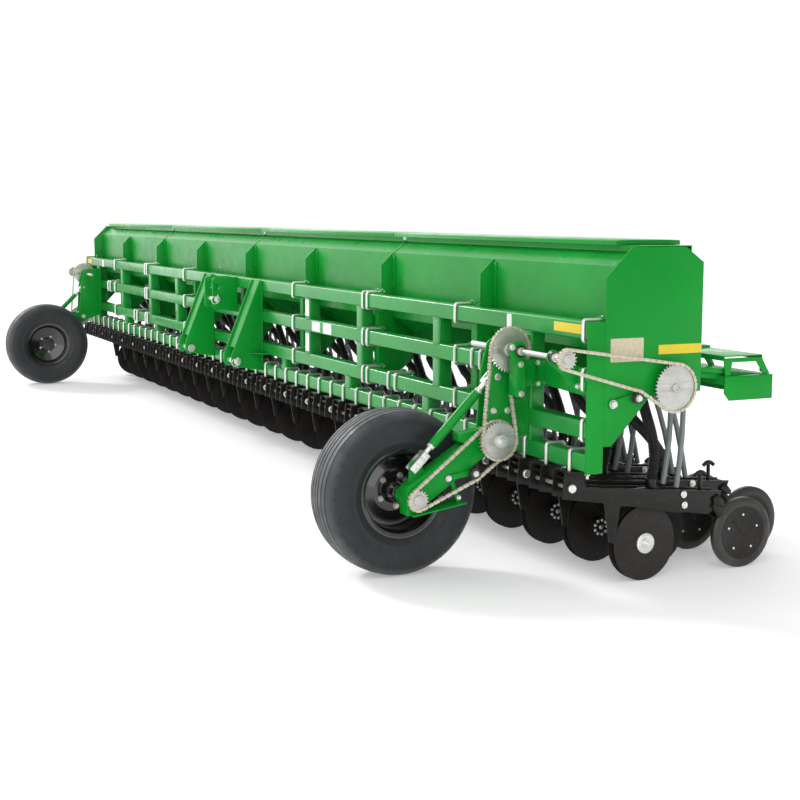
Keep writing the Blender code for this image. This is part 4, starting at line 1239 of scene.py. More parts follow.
            solid.piece(side.label + "_blank_plate", BEIGE, "frame", Slot.ZINC, side)

    def labels(self) -> None:
        """Builds the blank labels and the yellow tapes on the bars."""
        y = behind(-0.0006)
        spots = ((1.400, 0.992, 1.462, 1.093), (1.400, 0.771, 1.462, 0.883), (1.510, 0.905, 1.640, 0.964),
                 (1.690, 0.902, 1.820, 0.967), (3.925, 1.108, 3.968, 1.172))
        solid = Solid()
        for x0, z0, x1, z1 in spots:
            solid.plate([rounded((x0, z0), (x1, z1), 0.004)], 0.0008, y, Plane.XZ, 0.0001)
        solid.plate([rounded((-3.94, 1.108), (-3.86, 1.172), 0.004)], 0.0008, y, Plane.XZ, 0.0001)
        solid.piece("blank_labels", WHITE, "frame", Slot.ZINC)
        solid = Solid()
        for x0, x1 in ((4.335, 4.552), (-4.552, -4.36)):
            solid.plate([rounded((x0, 1.126), (x1, 1.166), 0.002)], 0.0008, y, Plane.XZ, 0.0001)
        solid.piece("bar_tapes", YELLOW, "frame", Slot.GREEN)

    def build(self) -> None:
        """Builds the whole seed box."""
        self.shell()
        self.rivets()
        self.ribs()
        self.lids()
        self.end_panels()
        self.labels()


@dataclass
class Meters:
    """The seed cups under the box, one to a row, with their slides."""

    y: float = 0.378
    top: float = 0.9085

    def cup(self) -> Solid:
        """One seed cup with its tapered spout, its rail's underside at the origin."""
        solid = Solid().block((-0.031, -0.031, -0.040), (0.031, 0.031, -0.0005), 0.003)
        solid.rod((0.0, 0.0, -0.038), (0.0, 0.0, -0.072), 0.030, 14, 0.0015, 0.0215)
        solid.rod((0.0, 0.0, -0.070), (0.0, 0.0, -0.100), 0.0215, 14, 0.0015, 0.0205)
        solid.lathe([(-0.033, 0.0), (-0.033, 0.020), (-0.030, 0.023), (0.030, 0.023), (0.033, 0.020),
                     (0.033, 0.0)],
                    (0.0, 0.018, -0.022), 18)
        return solid

    def build(self) -> None:
        """Builds the cups, their rail and the gate slides."""
        spots = [((row_x(row), behind(self.y), self.top), LEVEL) for row in range(ROWS)]
        solid = Solid().take_mesh(SCATTER.spread(self.cup(), spots, BLACK))
        end = row_x(ROWS - 1) + 0.06
        solid.block((-end, behind(self.y - 0.032), self.top - 0.0003),
                    (end, behind(self.y + 0.032), 0.9146), 0.0008)
        solid.piece("seed_cups", BLACK, "frame", Slot.BLACK, replaces=["seed_meters"])
        slide = Solid().block((-0.012, -0.046, -0.014), (0.012, -0.0315, -0.010), 0.0008)
        slide.block((-0.004, -0.047, -0.026), (0.004, -0.044, -0.010), 0.0008)
        solid = Solid().take_mesh(SCATTER.spread(slide, spots, ZINC))
        solid.piece("gate_slides", ZINC, "frame", Slot.ZINC)


# ------------------------------------------------------------------ openers
@dataclass
class Openers:
    """The double-disc openers with their press wheels and hardware."""

    disc_r: float = 0.1715
    disc_y: float = 0.395
    press_r: float = 0.165
    press_y: float = 0.946
    plate_x: float = 0.042
    plate_t: float = 0.006
    tilt: float = 3.5
    hub_out: float = 0.032

    def outline(self, rank: float, legged: bool) -> List[Flat]:
        """A side plate's outline; the rear rank's is longer by the rank step.

        Args:
            rank: How far the opener sits behind the front rank.
            legged: Whether the plate has the scraper's leg.

        Returns:
            The outline.
        """
        front = [(-0.050, 0.530), (-0.060, 0.414), (0.156, 0.378)]
        leg = [(0.186, 0.200), (0.214, 0.190), (0.241, 0.357), (0.294, 0.352)] if legged else []
        tail = [(0.531, 0.303), (0.612, 0.296), (0.716, 0.279), (0.767, 0.303), (0.795, 0.379)]
        moved = [(a + rank, b) for a, b in leg + tail]
        return [at(*p) for p in front + moved + [(0.060, 0.455), (0.045, 0.530)]]

    def frame_part(self, rank: float) -> Solid:
        """The black frame of one opener, its row at x = 0."""
        solid = Solid()
        for x in (-self.plate_x, self.plate_x):
            solid.plate([self.outline(rank, x > 0)], self.plate_t, x, edge=0.0008)
        half = self.plate_x - self.plate_t / 2
        solid.block((-half, behind(-0.046), 0.498), (half, behind(0.042), 0.506), 0.001)
        solid.block((-0.050, behind(-0.036), 0.5215), (0.050, behind(0.112), 0.5305), 0.0015)
        solid.slab((0.0, behind(0.070), 0.440), (0.0, behind(0.788 + rank), 0.366), half, 0.004, 0.0008)
        solid.slab((0.0, behind(0.792 + rank), 0.372), (0.0, behind(0.762 + rank), 0.312), half, 0.003,
                   0.0008)
        middle = self.disc_y + rank
        boot = [(middle - 0.05, 0.42), (middle - 0.045, 0.16), (middle + 0.002, 0.070),
                (middle + 0.045, 0.070)]
        boot += [(middle + 0.075, 0.20), (middle + 0.080, 0.42)]
        solid.plate([[at(*p) for p in boot]], 0.018, 0.0, edge=0.002)
        solid.rod((0.0, behind(middle + 0.040), 0.400), (0.0, behind(middle + 0.034), 0.462), 0.024, 14,
                  0.002)
        arm = [(0.700, 0.355), (0.745, 0.372), (0.800, 0.330), (self.press_y + 0.012, self.press_r + 0.014)]
        arm += [(self.press_y + 0.006, self.press_r - 0.016), (self.press_y - 0.020, self.press_r - 0.010)]
        arm += [(0.750, 0.285)]
        solid.plate([[at(a + rank, b) for a, b in arm]], 0.008, -self.plate_x + 0.007, edge=0.0008)
        ear = [(0.742, 0.352), (0.772, 0.368), (0.806, 0.330), (0.800, 0.312), (0.748, 0.318)]
        stop = [(0.738, 0.318), (0.772, 0.322), (0.812, 0.286), (0.800, 0.262), (0.770, 0.270)]
        for shape in (ear, stop):
            solid.plate([[at(a + rank, b) for a, b in shape]], 0.012, self.plate_x + 0.006, edge=0.0015)
        handle_y = 0.706 + rank
        solid.rod((0.0, behind(handle_y), 0.370), (0.0, behind(handle_y), 0.464), 0.009, 10)
        grip = ((-0.030, 0.452), (-0.015, 0.464), (0.0, 0.468), (0.015, 0.464), (0.030, 0.452))
        solid.sweep([(0.0, behind(handle_y + a), b) for a, b in grip], 0.0095, 8)
        return solid

    def hardware(self, rank: float) -> Solid:
        """The zinc bolts of one opener, its row at x = 0."""
        out = self.plate_x + self.plate_t / 2
        solid = Solid()
        if not rank:
            solid.rod((-out - ROW_PITCH, behind(-0.020), 0.460), (out + 0.020, behind(-0.020), 0.460),
                      0.0095, 12)
            solid.rod((out + 0.004, behind(-0.020), 0.460), (out + 0.022, behind(-0.020), 0.460), 0.0195,
                      16, 0.004)
        for y, z in ((0.579 + rank, 0.382), (0.585 + rank, 0.333)):
            solid.rod((out, behind(y), z), (out + 0.008, behind(y), z), 0.0165, 14, 0.002)
            solid.rod((out, behind(y), z), (out + 0.013, behind(y), z), 0.010, 6, 0.001)
        solid.hex_bolt((0.0, behind(0.086), 0.5305), (0.0, 0.0, 1.0), 0.012)
        return solid

    def disc_pair(self, capped: bool) -> Solid:
        """The two blades, their axle's middle at the origin.

        Args:
            capped: Whether the outer blade is the row's end one, with a plain hub.

        Returns:
            The blades.
        """
        solid = Solid()
        hub = 0.010 if capped else self.hub_out
        for sign in (-1.0, 1.0):
            disc = [(-0.0018, 0.0), (-0.0018, 0.160), (0.0, self.disc_r - 0.0008), (0.0018, 0.160),
                    (0.0018, 0.0)]
            part = Solid().lathe(disc, LEVEL, 48)
            reach = hub if sign > 0 else 0.010
            part.lathe([(-0.006, 0.0), (-0.006, 0.046), (reach, 0.042), (reach, 0.0)], (0.002, 0.0, 0.0),
                       20)
            turn = Matrix.Rotation(math.radians(sign * self.tilt), 4, "Z")
            flip = Matrix.Rotation(math.pi if sign < 0 else 0.0, 4, "Z")
            mesh = part.pattern()
            mesh.data.transform(Matrix.Translation((sign * 0.0135, 0.0, 0.0)) @ turn @ flip)
            solid.take_mesh(mesh.data)
        return solid

    def disc_bolts(self, capped: bool) -> Solid:
        """The hub's bolt ring, or the end blade's cap, on the +X side.

        Args:
            capped: Whether it is the row's end opener.

        Returns:
            The zinc parts of the hub.
        """
        solid = Solid()
        x = 0.0205
        if capped:
            cap = [(-0.004, 0.0), (-0.004, 0.046), (0.004, 0.046), (0.007, 0.041), (0.007, 0.026),
                   (0.011, 0.024)]
            solid.lathe(cap + [(0.011, 0.0)], (x + 0.001, 0.0, 0.0), 32)
            solid.rod((x + 0.010, 0.0, 0.0), (x + 0.022, 0.0, 0.0), 0.0165, 6, 0.002)
            solid.rod((x + 0.010, 0.0, 0.0), (x + 0.027, 0.0, 0.0), 0.008, 12, 0.001)
            return solid
        x = 0.0135 + self.hub_out
        for index in range(9):
            angle = 2 * math.pi * index / 9
            y, z = 0.0335 * math.cos(angle), 0.0335 * math.sin(angle)
            solid.rod((x - 0.002, y, z), (x + 0.010, y, z), 0.0078, 8, 0.002)
        solid.rod((x - 0.002, 0.0, 0.0), (x + 0.012, 0.0, 0.0), 0.012, 6, 0.002)
        return solid

    def press_tyre(self) -> Solid:
        """A press wheel's rubber, its axle's middle at the origin."""
        w = 0.0215
        profile = [(-w + 0.003, 0.122), (-w, 0.132), (-w, 0.150), (-w + 0.006, self.press_r - 0.004)]
        profile += [(-0.010, self.press_r), (0.010, self.press_r), (w - 0.006, self.press_r - 0.004)]
        profile += [(w, 0.150), (w, 0.132), (w - 0.003, 0.122)]
        return Solid().lathe(profile, LEVEL, 44, closed=True)

    def press_face(self) -> Solid:
        """A press wheel's two dished faces."""
        dish = [(-0.017, 0.0), (-0.017, 0.112), (-0.0195, 0.118), (-0.0195, 0.1335), (0.0195, 0.1335)]
        dish += [(0.0195, 0.118), (0.017, 0.112), (0.017, 0.0)]
        return Solid().lathe(dish, LEVEL, 40)

    def press_slot(self) -> Solid:
        """The slanted step in a press wheel's face."""
        spread = ((-0.062, 0.052), (-0.050, 0.062), (0.014, 0.004), (0.030, -0.014), (0.020, -0.020),
                  (0.000, -0.010))
        return Solid().plate([spread], 0.003, 0.0172, edge=0.0006)

    def press_bolts(self) -> Solid:
        """A press wheel's five face bolts."""
        solid = Solid()
        for index in range(5):
            angle = math.radians(18 + 72 * index)
            y, z = 0.085 * math.cos(angle), 0.085 * math.sin(angle)
            solid.rod((0.0165, y, z), (0.0205, y, z), 0.0058, 10, 0.001)
        return solid

    def build(self) -> None:
        """Builds every opener, gang by gang, and the two end ones' turning wheels."""
        per_gang = ROWS // GANGS
        for gang in range(GANGS):
            rows = range(gang * per_gang, (gang + 1) * per_gang)
            name = "gang_%d" % (gang + 1)
            frames, bolts = Solid(), Solid()
            for rank in (0.0, RANK_STEP):
                spots = [((row_x(row), 0.0, 0.0), LEVEL) for row in rows if rank_of(row) == rank]
                frames.take_mesh(SCATTER.spread(self.frame_part(rank), spots, BLACK))
                bolts.take_mesh(SCATTER.spread(self.hardware(rank), spots, ZINC))
            inner = [row for row in rows if 0 < row < ROWS - 1]
            hubs = [((row_x(row), behind(self.disc_y + rank_of(row)), self.disc_r), LEVEL) for row in inner]
            press = [((row_x(row), behind(self.press_y + rank_of(row)), self.press_r),
                      LEVEL) for row in inner]
            frames.piece(name + "_frames", BLACK, "frame", Slot.BLACK,
                         replaces=["opener_gang_%d" % (gang + 1)])
            bolts.take_mesh(SCATTER.spread(self.disc_bolts(False), hubs, ZINC))
            bolts.take_mesh(SCATTER.spread(self.press_bolts(), press, ZINC))
            bolts.piece(name + "_bolts", ZINC, "frame", Slot.ZINC)
            discs = Solid().take_mesh(SCATTER.spread(self.disc_pair(False), hubs, DISC_BLACK))
            discs.take_mesh(SCATTER.spread(self.press_face(), press, DISC_BLACK))
            discs.take_mesh(SCATTER.spread(self.press_slot(), press, DISC_BLACK))
            discs.piece(name + "_discs", DISC_BLACK, "frame", Slot.BLACK)
            tyres = Solid().take_mesh(SCATTER.spread(self.press_tyre(), press, PRESS_RUBBER))
            tyres.piece(name + "_press_tyres", PRESS_RUBBER, "frame", Slot.TYRE)
        for side in Side:
            self.end_wheels(side)

    def end_wheels(self, side: Side) -> None:
        """Builds the outermost opener's turning discs and press wheel.

        Args:
            side: The side it is on.
        """
        turn = LEVEL if side is Side.LEFT else (0.0, 0.0, math.pi)
        hub = [(tuple(joint_point(side.label + "_disc_spin")), turn)]
        press = [(tuple(joint_point(side.label + "_press_spin")), turn)]
        label, body = side.label, side.label + "_disc"
        solid = Solid().take_mesh(SCATTER.spread(self.disc_pair(True), hub, DISC_BLACK))
        solid.piece(label + "_outer_discs", DISC_BLACK, body, Slot.BLACK, replaces=[label + "_end_disc"])
        solid = Solid().take_mesh(SCATTER.spread(self.disc_bolts(True), hub, ZINC))
        solid.piece(label + "_outer_hub", ZINC, body, Slot.ZINC)
        body = side.label + "_press"
        solid = Solid().take_mesh(SCATTER.spread(self.press_tyre(), press, PRESS_RUBBER))
        solid.piece(label + "_outer_press_tyre", PRESS_RUBBER, body, Slot.TYRE,
                    replaces=[label + "_end_press_wheel"])
        solid = Solid().take_mesh(SCATTER.spread(self.press_face(), press, DISC_BLACK))
        solid.take_mesh(SCATTER.spread(self.press_slot(), press, DISC_BLACK))
        solid.piece(label + "_outer_press_face", DISC_BLACK, body, Slot.BLACK)
        solid = Solid().take_mesh(SCATTER.spread(self.press_bolts(), press, ZINC))
        solid.piece(label + "_outer_press_bolts", ZINC, body, Slot.ZINC)


@dataclass
class Hoses:
    """The corrugated seed hoses and the smooth grey tubes beside them."""

    radius: float = 0.0235
    pitch: float = 0.0095
    depth: float = 0.10
    top: float = 0.808
    tube_r: float = 0.0125

    def line(self, row: int, start: Flat, end: Flat, sag: float, steps: int = 8,
             straight: bool = False) -> List[Spot]:
        """A hose's middle line, with a slight bow.

        Args:
            row: The row it serves.
            start: Its top, as (offset behind the bars, z).
            end: Its foot.
            sag: How far it bows.
            steps: Number of stretches.
            straight: Whether it leaves and arrives without easing.

        Returns:
            Points from top to foot.
        """
        rank = rank_of(row)
        points = []
        for step in range(steps + 1):
            t = step / steps
            ease = t if straight else t * t * (3 - 2 * t)
            y = start[0] + (end[0] + rank - start[0]) * ease + sag * math.sin(math.pi * t)
            sway = 0.010 * math.sin(2.4 * row) * math.sin(math.pi * t)
            points.append((row_x(row) + sway, behind(y), start[1] + (end[1] - start[1]) * t))
        return points

    def build(self) -> None:
        """Builds all hoses and tubes."""
        corrugated = HoseTree()
        lines = [self.line(row, (0.378, self.top), (0.433, 0.455), 0.034) for row in range(ROWS)]
        verts = [point for line in lines for point in line]
        count = len(lines[0])
        edges = [(base * count + k,
                  base * count + k + 1) for base in range(len(lines)) for k in range(count - 1)]
        path = bpy.data.meshes.new("hose_lines")
        path.from_pydata(verts, edges, [])
        values = {"Radius": self.radius, "Pitch": self.pitch, "Depth": self.depth,
                  "Finish": HOSE.material()}
        solid = Solid().take_mesh(corrugated.run(path, values))
        solid.piece("seed_hoses", HOSE, "frame", Slot.BLACK)
        tubes = Solid()
        for row in range(ROWS):
            for start, end in (((0.532, 0.925), (0.508, 0.425)), ((0.572, 0.985), (0.557, 0.412))):
                line = self.line(row, start, end, 0.022, 5, True)
                x = 0.020 if start[0] > 0.55 else -0.014
                tubes.sweep([(a + x, b, c) for a, b, c in line], self.tube_r, 8)
        tubes.piece("grey_tubes", GREY_TUBE, "frame", Slot.ZINC)


# ------------------------------------------------------------------ drives
def belt(wheels: Sequence[Tuple[float, float, float, int]], arc_steps: int = 24) -> List[Flat]:
    """A closed line round wheels, as a chain runs.

    Args:
        wheels: Each wheel as (y, z, radius, side); side -1 presses from outside.
        arc_steps: Points to half a turn.

    Returns:
        The line's (y, z) points.
    """
    headings = []
    count = len(wheels)
    for index in range(count):
        y0, z0, r0, s0 = wheels[index]
        y1, z1, r1, s1 = wheels[(index + 1) % count]
        length = math.hypot(y1 - y0, z1 - z0)
        headings.append(math.atan2(z1 - z0, y1 - y0) - math.asin((s1 * r1 - s0 * r0) / length))
    points = []
    for index in range(count):
        y, z, radius, side = wheels[index]
        start = headings[index - 1]
        turn = (headings[index] - start + math.pi) % (2 * math.pi) - math.pi
        if side > 0 and turn < 0:
            turn += 2 * math.pi
        steps = max(2, round(arc_steps * abs(turn) / math.pi))
        for step in range(steps + 1):
            angle = start + turn * step / steps - side * math.pi / 2
            points.append((y + radius * math.cos(angle), z + radius * math.sin(angle)))
    return points


@dataclass
class ChainDrive:
    """The sprockets, shafts and roller chains of one side."""

    pitch: float = 0.015875
    small_r: float = 0.045
    pivot_r: float = 0.086
    big_r: float = 0.098
    feed_r: float = 0.104
    end_r: float = 0.042
    inner_x: float = 4.145
    outer_x: float = 4.175
    end_x: float = 4.645
    jack_r: float = 0.0127
    feed_shaft_r: float = 0.011
    sprocket_t: float = 0.006
    arm_idler: Flat = (-0.283, 0.480)
    jack_idler: Flat = (-0.088, 0.833)
    panel_idler: Flat = (0.236, 0.850)
    idler_r: float = 0.031

    def sprocket(self, solid: Solid, x: float, centre: Vector, radius: float, bore: float,
                 hub: float) -> None:
        """Adds a toothed wheel with its hub.

        Args:
            solid: What it is added to.
            x: Where its plate is.
            centre: A point on its axis.
            radius: Its pitch radius.
            bore: Radius of its bore.
            hub: Radius of its hub.
        """
        teeth = round(2 * math.pi * radius / self.pitch)
        outline = []
        for tooth in range(teeth):
            start = 360.0 * tooth / teeth
            width = 360.0 / teeth
            for share, reach in ((0.0, -0.0052), (0.22, -0.0046), (0.42, 0.0042), (0.58, 0.0042),
                                 (0.78, -0.0046)):
                angle = math.radians(start + share * width)
                outline.append((centre.y + (radius + reach) * math.cos(angle),
                                centre.z + (radius + reach) * math.sin(angle)))
        solid.plate([outline, ring((centre.y, centre.z), bore, 24)], self.sprocket_t, x, edge=0.0006)
        profile = [(-0.012, bore), (-0.012, hub - 0.002), (-0.010, hub), (0.010, hub), (0.012, hub - 0.002),
                   (0.012, bore)]
        solid.lathe(profile, (x, centre.y, centre.z), 24, closed=True)

    def plates(self, wide: bool) -> Solid:
        """One chain link, its length along Z, its pins along X.

        Args:
            wide: Whether it is an outer link.

        Returns:
            The link.
        """
        x = 0.0060 if wide else 0.0042
        half, r = self.pitch / 2, 0.0078 if wide else 0.0044
        solid = Solid()
        outline = arc((0.0, half), r, 0.0, 180.0, 3) + [(-r * 0.72, 0.0)] + arc((0.0, -half), r, 180.0,
                                                                                360.0, 3)
        outline += [(r * 0.72, 0.0)]
        for sign in (-1.0, 1.0):
            solid.plate([outline], 0.0015, sign * x, edge=0.0002)
        if wide:
            for z in (-half, half):
                solid.rod((-0.0078, 0.0, z), (0.0078, 0.0, z), 0.0024, 6, 0.0)
        else:
            for z in (-half, half):
                solid.rod((-0.0040, 0.0, z), (0.0040, 0.0, z), 0.0048, 8, 0.0)
        return solid

    def chain(self, tree: ChainTree, wheels: Sequence[Tuple[float, float, float, int]], x: float) -> Solid:
        """A whole chain.

        Args:
            tree: The tree that lays the links.
            wheels: The wheels it runs round.
            x: The plane it runs in.

        Returns:
            The chain.
        """
        line = belt(wheels)
        ends = zip(line, line[1:] + line[:1])
        length = sum(math.hypot(b[0] - a[0], b[1] - a[1]) for a, b in ends)
        links = 2 * round(length / self.pitch / 2)
        path = bpy.data.meshes.new("chain_line")
        count = len(line)
        path.from_pydata([(x, y, z) for y, z in line], [(k, (k + 1) % count) for k in range(count)], [])
        inner, outer = self.plates(False).pattern(), self.plates(True).pattern()
        values = {"Inner": inner, "Outer": outer, "Links": links, "Finish": CHAIN.material()}
        solid = Solid().take_mesh(tree.run(path, values))
        for pattern in (inner, outer):
            bpy.data.objects.remove(pattern, do_unlink=True)
        return solid

    def build(self) -> None:
        """Builds the drives of both sides."""
        tree = ChainTree()
        jack = joint_point("left_jackshaft_spin")
        feed = joint_point("left_feed_shaft_spin")
        pivot = joint_point("left_sprockets_spin")
        axle = joint_point("left_wheel_spin")
        reach = self.idler_r
        wheel_line = [(axle.y, axle.z, self.small_r, 1), (*at(*self.arm_idler), reach, 1),
                      (pivot.y, pivot.z, self.pivot_r, 1)]
        jack_line = [(pivot.y, pivot.z, self.pivot_r, 1), (*at(*self.jack_idler), reach, -1),
                     (jack.y, jack.z, self.big_r, 1)]
        feed_line = [(jack.y, jack.z, self.end_r, 1), (*at(*self.panel_idler), reach, -1),
                     (feed.y, feed.z, self.feed_r, 1)]
        for side in Side:
            label = side.label
            runs = ((wheel_line, self.inner_x, "wheel_chain", "arm"),
                    (jack_line, self.outer_x, "jack_chain", ""),
                    (feed_line, self.end_x, "feed_chain", ""))
            for wheels, x, name, owner in runs:
                body = label + "_arm" if owner else "frame"
                solid = self.chain(tree, wheels, x)
                solid.piece(label + "_" + name + "_links", CHAIN, body, Slot.ZINC, side,
                            [label + "_" + name])
            solid = Solid().rod((3.830, jack.y, jack.z), (4.660, jack.y, jack.z), self.jack_r, 24)
            self.sprocket(solid, self.outer_x, jack, self.big_r, self.jack_r, 0.030)
            self.sprocket(solid, self.end_x, jack, self.end_r, self.jack_r, 0.022)
            solid.piece(label + "_jackshaft_set", SPROCKET, label + "_jackshaft", Slot.ZINC, side,
                        [label + "_jackshaft"])
            solid = Solid().rod((0.006, feed.y, feed.z), (4.656, feed.y, feed.z), self.feed_shaft_r, 16)
            self.sprocket(solid, self.end_x, feed, self.feed_r, self.feed_shaft_r, 0.020)
            solid.piece(label + "_feed_shaft_set", SPROCKET, label + "_feed_shaft", Slot.ZINC, side,
                        [label + "_feed_shaft"])
            solid = Solid()
            for x in (self.inner_x, self.outer_x):
                self.sprocket(solid, x, pivot, self.pivot_r, 0.0195, 0.030)
            solid.lathe([(4.156, 0.0195), (4.156, 0.028), (4.164, 0.028), (4.164, 0.0195)],
                        (0.0, pivot.y, pivot.z), 24, closed=True)
            solid.piece(label + "_pivot_sprockets", SPROCKET, label + "_sprockets", Slot.ZINC, side,
                        [label + "_pivot_sprocket"])
            middle = at(*self.jack_idler)
            roller = [(-0.011, 0.0), (-0.011, 0.022), (-0.008, 0.025), (0.008, 0.025), (0.011, 0.022),
                      (0.011, 0.0)]
            solid = Solid().lathe(roller, (self.outer_x, *middle), 28)
            solid.piece(label + "_jack_roller", PRESS_RUBBER, "frame", Slot.BLACK, side)
            solid = Solid().rod((self.outer_x + 0.010, *middle), (self.outer_x + 0.024, *middle), 0.010,
                                6, 0.001)
            solid.rod((4.130, *middle), (self.outer_x + 0.012, *middle), 0.007, 12)
            solid.piece(label + "_jack_roller_bolt", ZINC, "frame", Slot.ZINC, side)


@dataclass
class DriveBracket:
    """The cheeks that carry the gauge arm, and the jackshaft's two bearing brackets."""

    cheek_t: float = 0.010
    inner_x: float = 4.025
    outer_x: float = 4.125
    near_x: float = 4.250
    end_x: float = 4.530

    def cheek(self, pivot: Vector, jack: Vector, top: Vector) -> List[Flat]:
        """A cheek's outline.

        Args:
            pivot: The gauge arm's pivot.
            jack: The jackshaft.
            top: The turnbuckle's upper pin.

        Returns:
            The outline.
        """
        points = [at(-0.004, 0.640), at(-0.004, 1.090)]
        points += arc((jack.y, jack.z), 0.040, 90.0, 180.0, 8)
        points += [(top.y - 0.032, top.z + 0.012), (top.y - 0.032, top.z - 0.012)]
        points += arc((pivot.y, pivot.z), 0.040, 180.0, 290.0, 12)
        return points

    def build(self) -> None:
        """Builds both brackets and their fittings."""
        pivot = joint_point("left_arm_hinge")
        jack = joint_point("left_jackshaft_spin")
        top = joint_point("left_tube_hinge")
        outline = self.cheek(pivot, jack, top)
        for side in Side:
            label = side.label
            solid = Solid()
            bores = [ring((jack.y, jack.z), 0.0145), ring((pivot.y, pivot.z), 0.0197)]
            solid.plate([outline, *bores], self.cheek_t, self.inner_x)
            solid.plate([outline, bores[0]], self.cheek_t, self.outer_x)
            solid.block((self.inner_x - 0.030, behind(-0.012), 0.645),
                        (self.outer_x + 0.008, behind(-0.0004), 1.085), 0.002)
            self.bearing_plates(solid, jack)
            solid.piece(label + "_bracket_plates", GREEN, "frame", Slot.GREEN, side,
                        [label + "_drive_bracket"])
            solid = Solid().rod((self.outer_x, pivot.y, pivot.z), (4.196, pivot.y, pivot.z), 0.019, 20)
            solid.lathe([(0.0, 0.0), (0.0, 0.030), (0.004, 0.030), (0.004, 0.0)],
                        (4.192, pivot.y, pivot.z), 24)
            solid.hex_bolt((4.196, pivot.y, pivot.z), (1.0, 0.0, 0.0), 0.018)
            solid.rod((self.inner_x - 0.012, top.y, top.z), (self.outer_x + 0.012, top.y, top.z), 0.0095,
                      14)
            solid.rod((self.outer_x + 0.005, top.y, top.z), (self.outer_x + 0.014, top.y, top.z), 0.017,
                      16, 0.003)
            for y, z in ((-0.182, 0.754), (-0.111, 0.752)):
                solid.hex_bolt((self.outer_x + 0.005, behind(y), z), (1.0, 0.0, 0.0), 0.014)
            for y, z in ((-0.119, 0.973), (-0.115, 0.842), (-0.164, 1.050)):
                solid.hex_bolt((self.near_x + 0.008, behind(y), z), (1.0, 0.0, 0.0), 0.013)
            solid.hex_bolt((self.end_x + 0.008, behind(-0.139), 1.048), (1.0, 0.0, 0.0), 0.009)
            for x, z in ((4.219, 0.972), (4.222, 0.879), (4.545, 0.905), (4.330, 1.000)):
                solid.hex_bolt((x, behind(-0.006), z), (0.0, -1.0, 0.0), 0.013)
            for x in (self.near_x, self.end_x):
                collar = [(0.006, 0.0130), (0.006, 0.0185), (0.024, 0.0185), (0.024, 0.0130)]
                solid.lathe(collar, (x + 0.002, jack.y, jack.z), 24, closed=True)
            solid.piece(label + "_bracket_bolts", ZINC, "frame", Slot.ZINC, side)
            solid = Solid()
            for x in (self.near_x, self.end_x):
                bearing = [(-0.010, 0.0140), (-0.010, 0.0275), (0.012, 0.0275), (0.014, 0.0255),
                           (0.014, 0.0190)]
                solid.lathe(bearing + [(0.014, 0.0140)], (x + 0.002, jack.y, jack.z), 28, closed=True)
            solid.piece(label + "_shaft_bearings", RIM_BLACK, "frame", Slot.BLACK, side)

    def bearing_plates(self, solid: Solid, jack: Vector) -> None:
        """Adds the two plates that hold the jackshaft's bearings.

        Args:
            solid: What they are added to.
            jack: The jackshaft.
        """
        bore = ring((jack.y, jack.z), 0.0150)
        near = [at(-0.096, 0.826), at(-0.096, 1.000)] + arc((jack.y - 0.008, jack.z + 0.003), 0.044,
                                                            -20.0, 218.0, 14)
        near += [at(-0.139, 0.965), at(-0.139, 0.826)]
        solid.plate([near, bore], 0.008, self.near_x + 0.004)
        web = self.near_x - 0.060
        solid.block((web, behind(-0.136), 0.866), (web + 0.008, behind(-0.0065), 0.986), 0.0012)
        solid.block((web, behind(-0.139), 0.830), (self.near_x + 0.002, behind(-0.131), 0.996), 0.0012)
        solid.block((web, behind(-0.0066), 0.866), (self.near_x + 0.013, behind(-0.0006), 0.989), 0.0012)
        end = [at(-0.0005, 0.890), at(-0.0005, 0.985)] + arc((jack.y, jack.z), 0.032, 60.0, 230.0, 12)
        solid.plate([end, bore], 0.008, self.end_x + 0.004)
        arm = [(4.262, 0.880), (4.262, 1.010), (4.340, 1.020), (4.545, 0.962), (4.600, 0.925),
               (4.590, 0.868)]
        arm += [(4.480, 0.872)]
        solid.plate([arm], 0.006, behind(-0.0036), Plane.XZ)


